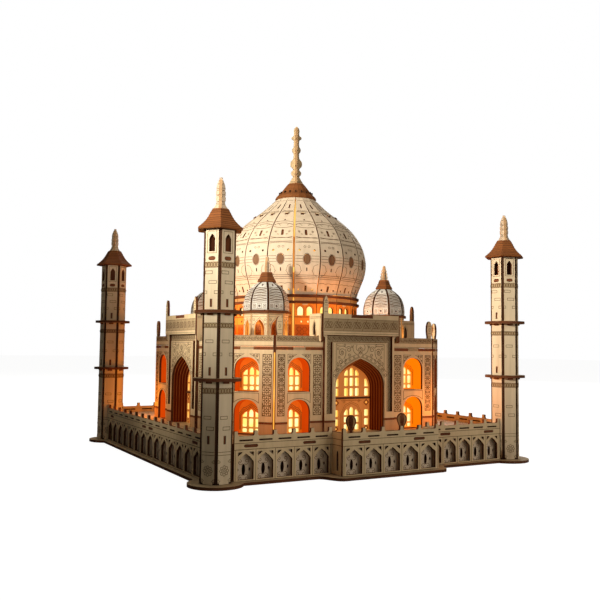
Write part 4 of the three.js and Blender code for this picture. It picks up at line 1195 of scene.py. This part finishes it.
def dome():
    """The dome's gores with their pierced and etched bands, the ribs behind them, the cap and the finial."""
    build = Build()
    low, high = 130.7, 218.5
    steps = [low + (high - low) * n / 26 for n in range(27)]
    tan, flat = math.tan(math.pi / GORES), math.cos(math.pi / GORES)
    gap, lit_gap = 0.46, 0.85
    for side in range(GORES):
        place = gore((side + 0.5) * 360 / GORES, GORES, PROFILE)
        draw = build.pen(place, lift=0.07)
        gap0 = lit_gap if side in LIT_SEAMS else gap
        gap1 = lit_gap if (side + 1) % GORES in LIT_SEAMS else gap

        def half(z):
            return dome_radius(z) * flat * tan

        narrow = [min(1, (high - z) / 24 + 0.25) for z in steps]  # the gaps close towards the cap
        right = [(half(z) - gap1 * part, z) for z, part in zip(steps, narrow)]
        left = [(-half(z) + gap0 * part, z) for z, part in zip(steps, narrow)]
        holes = [rect(-0.6, 204.8, 0.6, 209.2), rect(-1.0, 178.1, 1.0, 183), rect(-0.45, 148.7, 0.45, 151.4),
                 rect(-0.9, 132.9, 0.9, 137.4), oval(0, 158.3, 2.9, 4.3, 20), oval(0, 192.4, 0.62, 0.62, 8)]
        for s in (-1, 1):
            for x, z, r, count in ((6.05, 165.4, 0.95, 10), (5.6, 134.2, 0.8, 8), (5.6, 181.2, 0.36, 6)):
                holes.append(oval(s * x, z, r, r, count))
        holes.append(rect(-1.9, 197.9, 1.0, 198.9))
        build.board(place, right + left[::-1], holes, thick=1.5, rows=steps[1:-1], face=PALE, back=INNER_GLOW)
        # Behind the holes: glowing sheets on the gores beside the lit seams (painted light), dark sheets elsewhere
        # (painted shade).
        glows_behind = side in (0, 17, 5, 6, 11, 12)
        hot, cool = (GLOW, INNER_GLOW) if glows_behind else (SHADE, SHADE)
        for z0, z1, w, look in ((162.5, 168, 8.2, hot), (131.5, 138.2, 7.6, hot), (176.5, 184.5, 6.6, cool),
                                (147.5, 152.5, 2.0, SHADE), (203.6, 210.4, 1.4, SHADE), (190.4, 200.2, 2.6, SHADE)):
            build.sheet(place, rect(-w, z0, w, z1), look, -3.2, 0.3, [(z0 + z1) / 2])
        build.board(place, oval(0, 158.3, 2.6, 4.0, 20), thick=0.9, rows=[156, 158.3, 160.6], lift=-0.35, face=OVAL)
        for w, z0, z1 in ((0.7, 178.4, 182.7), (0.65, 133.2, 137.1)):
            build.board(place, rect(-w, z0, w, z1), thick=0.8, lift=-0.5, face=TAB)
        build.board(place, rect(-1.5, 198.6, 1.5, 199.7), thick=1.2, lift=0.9, face=FACE)

        def across(z, width=0.32, sag=0.0, waves=0, inset=0.5):
            """A line from seam to seam at height z, bowed by sag or broken into waves."""
            w0, w1 = half(z) - gap0 - inset, half(z) - gap1 - inset
            parts = 12 if waves or sag else 2
            line = []
            for n in range(parts + 1):
                t = n / parts
                x = -w0 + (w0 + w1) * t
                lift = sag * (1 - (2 * t - 1) ** 2)
                if waves:
                    lift += 0.55 * abs(math.sin(math.pi * waves * t))
                line.append((x, z + lift))
            draw(line, width)

        across(213.3, 0.3)
        across(200.9, 0.4)
        for z, sag in ((190.2, 0.9), (187.6, 1.5), (185.8, -1.1), (176.6, -0.9), (175.2, 0.8), (172.6, 0.0),
                       (171.2, 0.7)):
            across(z, sag=sag)
        for s in (-1, 1):
            for x, z, rx, ry, count, width in ((1.7, 168.3, 0.95, 0.8, 8, 0.24), (5.6, 181.2, 0.8, 0.8, 8, 0.2),
                                               (3.6, 178.9, 0.7, 0.35, 6, 0.2)):
                draw(oval(s * x, z, rx, ry, count), width, True)
            for z in (160.7, 158.4, 156.1):
                edge = half(z) - (gap1 if s > 0 else gap0) - 0.4
                draw([(s * 3.5, z), (s * edge, z)], 0.28, step=3)
            for knots, count, width in ((((9.0, 154.0), (3.2, 153.2), (6.4, 149.6), (4.1, 149.0)), 6, 0.26),
                                        (((4.1, 149.0), (6.0, 148.2), (4.2, 145.6), (8.6, 144.8)), 6, 0.26),
                                        (((2.6, 186.8), (4.4, 189.2), (6.6, 188.6), (7.6, 187.0)), 5, 0.22)):
                draw(bezier(*((s * x, z) for x, z in knots), count), width, step=3)
        for z in (145.6, 144.2, 142.8):
            across(z)
        across(139.0, 0.3, waves=3, inset=0.4)
        draw(oval(0, 158.3, 3.3, 4.7, 20), 0.26, True)
        for n in range(-3, 4):
            if half(201.9) - 1 > abs(n) * 1.15:
                draw(oval(n * 1.15, 202.0, 0.28, 0.28, 5), 0.22, True)
    for seam in range(GORES):
        hot = seam in LIT_SEAMS
        top = 214 if hot else 217
        zs = [131 + (top - 131) * n / 20 for n in range(21)]
        wide, deep = (1.5, 2.0) if hot else (0.7, 0.75)
        for z0, z1 in zip(zs, zs[1:]):
            look = EDGE
            if hot:
                look = GLOW if z0 > 176 or z0 < 134 or 150 > z0 > 146 else SEAM_WARM
            elif seam == 13 and z0 < 142:
                look = SEAM_WARM
            rib(build, seam * 360 / GORES, PROFILE, z0, z1, wide, deep, look)
    build.object("dome_gores", replaces="dome")

    cap = Build()
    outside = [(17.6, 216.6), (18.2, 217.6), (17.5, 219.2), (15.1, 221.5), (12.8, 224.2), (10.5, 227.2), (8.3, 230.0),
               (7.0, 231.4)]
    cap.revolve([(1, 216.6), *outside, (1, 231.4)], GORES, 10, material=STAIN)
    for side in range(GORES):
        place = wall(14.5, (side + 0.5) * 360 / GORES + 10)
        cap.sheet(place, rect(-0.55, 221.5, 0.55, 223.4), SHADE, 0.55, 1.6)
    cap.object("dome_cap_panels", replaces="dome_cap", slot="walnut")

    tip = Build()
    rows = [(231.7, 6.3), (233.6, 5.4), (236, 3.9), (238.2, 2.7), (239.2, 3.3), (240.2, 4.3), (241.3, 4.5),
            (242.4, 4.3), (243.6, 3.2), (245, 2.6), (246.2, 3.4), (247.6, 4.9), (249.5, 5.2), (251.4, 4.9),
            (253.2, 3.5), (254.6, 2.7), (257, 2.4), (259.4, 2.6), (260.6, 3.5), (262, 3.9), (263.4, 3.5),
            (264.8, 2.6), (268, 2.3), (271.2, 2.6), (272, 4.0), (272.9, 4.5), (273.8, 4.0), (274.8, 2.6), (277, 2.3),
            (279.4, 2.6), (281.4, 2.1), (283.3, 0)]
    marks = [(233.6, 4.8), (238.6, 2.4), (244.9, 2.2), (254.8, 2.3), (259.2, 2.2), (265, 2.2), (271.2, 2.2), (275, 2.2)]
    crossed(tip, -120, (0, 0), mirrored(rows), marks, holes=([almond(0, 249.5, 0.7, 1.3, 3)], []))
    for angle in (-120, -30, 60, 150):
        for z in (241.3, 262.1):
            tip.etch(wall(1, angle), oval(0, z, 1.2, 1.0, 8), 0.3, True)
    tip.object("dome_finial_boards", replaces="dome_finial")


# ---------------------------------------------------------------- roof kiosks
KIOSK_ROWS = [(115.8, 17.9), (119.8, 18.0), (124.5, 17.3), (130.4, 15.0), (135.1, 10.6), (137.6, 6.6)]


def kiosk(k, corner):
    """One roof kiosk: eight walls with doors round a lit ring, and its ribbed dome with cap and finial."""
    cx, cy = corner_point(k, KIOSK_AT)
    room = Build()
    face, half = KIOSK_R * math.cos(math.pi / 8), KIOSK_R * math.sin(math.pi / 8)
    foot, head, eaves = 88.5, 113.3, 115.4
    for side in range(8):
        place = wall(face, side * 45, (cx, cy))
        draw = room.pen(place)
        door, w = 3.9, half - 0.35
        curve = arch(0, foot, door, 101.6, 108.6, 7, 0.36)[2:][::-1]
        outline = [(-w, foot), (-door, foot), *curve, (door, foot), (w, foot), (w, head), (-w, head)]
        room.board(place, clean(outline), edge=BARS, back=WARM)
        draw([(-w + 0.5, 89), (-w + 0.5, 112.4), (w - 0.5, 112.4), (w - 0.5, 89)], 0.26)
        draw([(-w + 0.2, 110.6), (w - 0.2, 110.6)], 0.26)
        for s in (-1, 1):
            draw(oval(s * 4.4, 108.3, 0.8, 0.8, 7), 0.26, True)
            draw(spiral(s * 4.8, 104.9, 0.8, 1.1, 0, s, 6), 0.24)
        draw(arch(0, 88.6, 4.6, 101.7, 109.8, 7, 0.36)[1:], 0.26)
        a = math.radians(side * 45 + 22.5)
        post = (cx + 16.2 * math.cos(a), cy + 16.2 * math.sin(a))
        room.revolve([(0.9, foot), (0.9, head)], 6, side * 45, post, EDGE)
    room.revolve([(13.2, foot), (13.9, foot), (13.9, 91.5), (13.2, 91.5)], 8, 22.5, (cx, cy), WARM, closed=True)
    room.revolve([(9.6, 91.7), (14.0, 91.7), (14.0, 92.3), (9.6, 92.3)], 8, 22.5, (cx, cy), WARM, closed=True)
    room.board(level(eaves, at=(cx, cy)), oval(0, 0, 19.2, 19.2, 8, math.pi / 8),
               [oval(0, 0, 12, 12, 8, math.pi / 8)], face=SHADED_BASE_FACE)
    room.object(f"{corner}_kiosk_boards", replaces=f"{corner}_kiosk")

    top = Build()
    tan, flat = math.tan(math.pi / 8), math.cos(math.pi / 8)
    low, high, hole = 115.8, 137.5, 118.7
    steps = [low + (high - low) * n / 9 for n in range(10)]
    for side in range(8):
        place = gore(side * 45, 8, KIOSK_ROWS, (cx, cy))
        draw = top.pen(place, lift=0.06)

        def width(z):
            return dome_radius(z, KIOSK_ROWS) * flat * tan - 0.95

        right = [(width(z), z) for z in steps]
        left = [(-width(z), z) for z in steps]
        holes = [oval(0, hole, 0.85, 0.85, 10), mirrored([(134.3, 0.55), (135.4, 0.55), (136.0, 0)])]
        top.board(place, right + left[::-1], holes, thick=1.2, rows=steps[1:-1], face=ASH)
        for x in (-4.0, 4.0):
            draw(rect(x - 0.95, hole - 1.2, x + 0.95, hole + 1.2), 0.24, True)
            draw(oval(x, hole, 0.4, 0.4, 6), 0.26, True)
        draw(rect(-1.7, hole - 1.7, 1.7, hole + 1.7), 0.24, True)
        for z in (116.4, 121.4):
            draw([(-width(z) + 0.3, z), (width(z) - 0.3, z)], 0.26)
        for n in range(9):
            z = 122.6 + n * 1.28
            w = width(z) - 0.35
            scallop = [(-w + 2 * w * u, z + 0.3 * math.cos(2 * math.pi * u)) for u in (t / 8 for t in range(9))]
            draw(scallop, 0.7 if n % 2 else 0.46, lift=0.07)
        for z0, z1 in zip(steps, steps[1:]):
            rib(top, side * 45 + 22.5, KIOSK_ROWS, z0, z1, 0.75, 0.6, SHADE, (cx, cy))
    cap = [(6.9, 137.7), (7.3, 138.4), (6.9, 139.2), (5.9, 140.7), (5.0, 142.8), (4.4, 144.8), (4.2, 145.5)]
    top.revolve([(0.5, 137.7), *cap, (0.5, 145.5)], 8, 22.5, (cx, cy), CLAY)
    for r, z in ((6.6, 139.9), (5.6, 141.8), (4.8, 143.7)):
        top.revolve([(r - 0.6, z - 0.16), (r + 0.1, z - 0.16), (r + 0.05, z + 0.16), (r - 0.6, z + 0.16)], 8, 22.5,
                    (cx, cy), EDGE, closed=True)
    rows = [(145.3, 3.4), (146.8, 2.7), (147.6, 3.1), (148.6, 3.1), (149.4, 2.3), (150.2, 2.7), (151.3, 2.6),
            (152, 1.9), (152.8, 2.2), (153.8, 2.1), (154.5, 1.5), (156.2, 1.3), (157.2, 0.9), (157.9, 0)]
    crossed(top, -135, (cx, cy), mirrored(rows), [(149.4, 1.6), (152, 1.5)], 1.6, 0.24, PALE)
    top.object(f"{corner}_kiosk_dome_panels", replaces=f"{corner}_kiosk_dome")


# ---------------------------------------------------------------- trees, lamp and power unit
def trees():
    """Two crossed boards for each tree on the front terrace."""
    rows = [(25.75, 1.9), (30.6, 1.75), (31.8, 2.15), (33, 2.7), (34.4, 3.3), (36, 3.65), (37.3, 3.7), (38.4, 3.3),
            (39.4, 2.6), (40.1, 1.8), (40.5, 0.8)]
    for hand, x in (("left", -22.3), ("right", 22.3)):
        build = Build()
        for angle in (-120, -30):
            build.board(wall(1, angle, (x, -124.2)), mirrored(rows), face=TREE)
            for flip in (0, 180):
                face = wall(1, angle + flip, (x, -124.2))
                rim = mirrored([(z, max(w - 0.35, 0.3)) for z, w in rows[1:]])
                build.etch(face, rim, 0.55, True, material=EDGE)
                for s in (-1, 0, 1):
                    rib = bezier((s * 0.5, 31.5), (s * 1.7, 34.8), (s * 1.7, 38), (s * 0.6, 40.0), 6)
                    build.etch(face, rib, 0.34, material=EDGE)
        build.object(f"front_tree_{hand}_boards", replaces=f"front_tree_{hand}")


def power():
    """Materials for the CAD nodes that stay: the lamp and the battery unit."""
    looks = {"battery_box": PLASTIC, "battery_lid": PLASTIC, "switch_knob": PLASTIC, "led_lamp": LAMP}
    for name, look in looks.items():
        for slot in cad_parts[name].material_slots:
            slot.material = look


# ---------------------------------------------------------------- camera, floor and light
def camera():
    """The viewing angle, for a square image 600 units across."""
    data = bpy.data.cameras.new("camera")
    focal, width = 737.49, 600
    data.sensor_width = 36
    data.lens = data.sensor_width * focal / width
    data.clip_start, data.clip_end = 0.01, 20
    made = bpy.data.objects.new("camera", data)
    bpy.context.scene.collection.objects.link(made)
    made.location = (-0.31228, -0.56239 + AXIS_Y * MM, 0.08737)
    yaw, pitch, roll = math.radians(29.469), math.radians(3.738), math.radians(0.69)
    ahead = Vector((math.sin(yaw) * math.cos(pitch), math.cos(yaw) * math.cos(pitch), math.sin(pitch)))
    turn = ahead.to_track_quat("-Z", "Y").to_matrix().to_4x4()
    made.matrix_world = Matrix.Translation(made.location) @ turn @ Matrix.Rotation(roll, 4, "Z")
    bpy.context.scene.camera = made


def stage():
    """The pale floor, the white backdrop and all lights."""
    mesh = bpy.data.meshes.new("floor")
    size, below = 6.0, -0.0003
    mesh.from_pydata([(x, y, below) for x, y in rect(-size, -size, size, size)], [], [(0, 1, 2, 3)])
    floor = bpy.data.objects.new("floor", mesh)
    bpy.context.scene.collection.objects.link(floor)
    paint, tree, shader = plain("pale_floor")
    fill(shader, {"Base Color": (0.3, 0.296, 0.285, 1), "Roughness": 0.9, "Specular IOR Level": 0.1,
                  "Emission Color": (1.0, 1.0, 1.0, 1)})
    brightness = node(tree, "ShaderNodeMapRange", {"To Min": 0.0, "To Max": 0.94})
    join(tree, node(tree, "ShaderNodeLightPath"), "Is Camera Ray", brightness, "Value")
    join(tree, brightness, "Result", shader, "Emission Strength")
    mesh.materials.append(paint)

    # A white backdrop, and a dimmer, slightly warm sky for the light it gives.
    world = bpy.data.worlds.new("studio")
    bpy.context.scene.world = world
    world.use_nodes = True
    tree = world.node_tree
    shade = node(tree, "ShaderNodeMix", {"A": (0.085, 0.083, 0.076, 1), "B": (1.0, 1.0, 1.0, 1)}, data_type="RGBA")
    join(tree, node(tree, "ShaderNodeLightPath"), "Is Camera Ray", shade, "Factor")
    join(tree, shade, "Result", tree.nodes["Background"], "Color")
    bpy.context.scene.view_settings.view_transform = "Standard"

    def light(name, kind, where, power, colour, target=None, **values):
        data = bpy.data.lights.new(name, kind)
        data.energy, data.color = power, colour
        for key, value in values.items():
            setattr(data, key, value)
        made = bpy.data.objects.new(name, data)
        bpy.context.scene.collection.objects.link(made)
        made.location = where
        if target:
            made.rotation_mode = "QUATERNION"
            made.rotation_quaternion = (Vector(target) - Vector(where)).to_track_quat("-Z", "Y")

    # Hard light from the left: place, power, colour, target, cone in degrees and softness of its rim.
    for name, where, power, colour, target, cone, blend in (
        ("key", (-1.3, -0.25, 0.45), 122, (1.0, 0.965, 0.90), (-0.039, -0.073, 0.216), 14.5, 0.5),
        ("accent", (-0.75, -1.25, 0.35), 26, (1.0, 0.96, 0.9), (-0.125, -0.122, 0.168), 7, 0.7),
        ("west", (-1.3, -0.25, 0.45), 55, (1.0, 0.965, 0.90), (-0.105, -0.022, 0.086), 5, 0.5),
        ("wing", (-0.4, -1.2, 0.3), 16, (1.0, 0.97, 0.92), (-0.064, -0.085, 0.078), 6, 0.7),
        ("tip", (-0.75, -1.25, 0.35), 70, (1.0, 0.96, 0.9), (-0.125, 0.128, 0.19), 1.7, 0.3),
    ):
        light(name, "SPOT", where, power, colour, target, spot_size=math.radians(cone), spot_blend=blend,
              shadow_soft_size=0.05)
    # Soft boxes: place, power, colour, target and size.
    for name, where, power, colour, target, size in (
        ("side", (-1.3, 0.0, 0.25), 0.12, (1.0, 0.93, 0.82), (-0.1, 0, 0.05), 0.4),
        ("fill", (0.62, -1.15, 0.45), 6.4, (1.0, 0.96, 0.9), (0, 0, 0.1), 0.9),
        ("top", (-0.1, 0.1, 1.3), 3.2, (1.0, 0.97, 0.93), (0, 0, 0.1), 0.9),
        ("rim", (0.9, 1.1, 0.6), 7, (1.0, 0.95, 0.88), (0, 0, 0.1), 0.8),
    ):
        light(name, "AREA", where, power, colour, target, size=size)
    # Small warm lights in the hall, in the dome, on the roof behind the portals, and in the court.
    warm, amber = (1.0, 0.38, 0.06), (1.0, 0.32, 0.03)
    light("lamp_inside", "POINT", (0, 0.003, 0.06), 0.6, warm, shadow_soft_size=0.02)
    light("dome_inside", "POINT", (0, 0.003, 0.12), 0.8, warm, shadow_soft_size=0.02)
    for n, (x, y) in enumerate(((0, -0.073), (0.073, 0.003), (0, 0.079), (-0.073, 0.003))):
        light(f"roof_{n}", "POINT", (x, y, 0.1), 0.07, warm, shadow_soft_size=0.01)
    for n, (x, y, power) in enumerate(((0, 0.12, 0.16), (-0.113, 0.075, 0.06), (0.118, 0.02, 0.19),
                                       (0.116, 0.116, 0.1), (-0.08, -0.116, 0.02), (0.07, -0.116, 0.05))):
        light(f"court_{n}", "POINT", (x, y, 0.045), power, amber, shadow_soft_size=0.02)


plinth()
ground()
for index, corner_name in enumerate(CORNERS):
    minaret(index, corner_name)
hall()
for index, side_name in enumerate(SIDES):
    portal(index, side_name)
roof()
drum()
dome()
for index, corner_name in enumerate(CORNERS):
    kiosk(index, corner_name)
trees()
power()
camera()
stage()
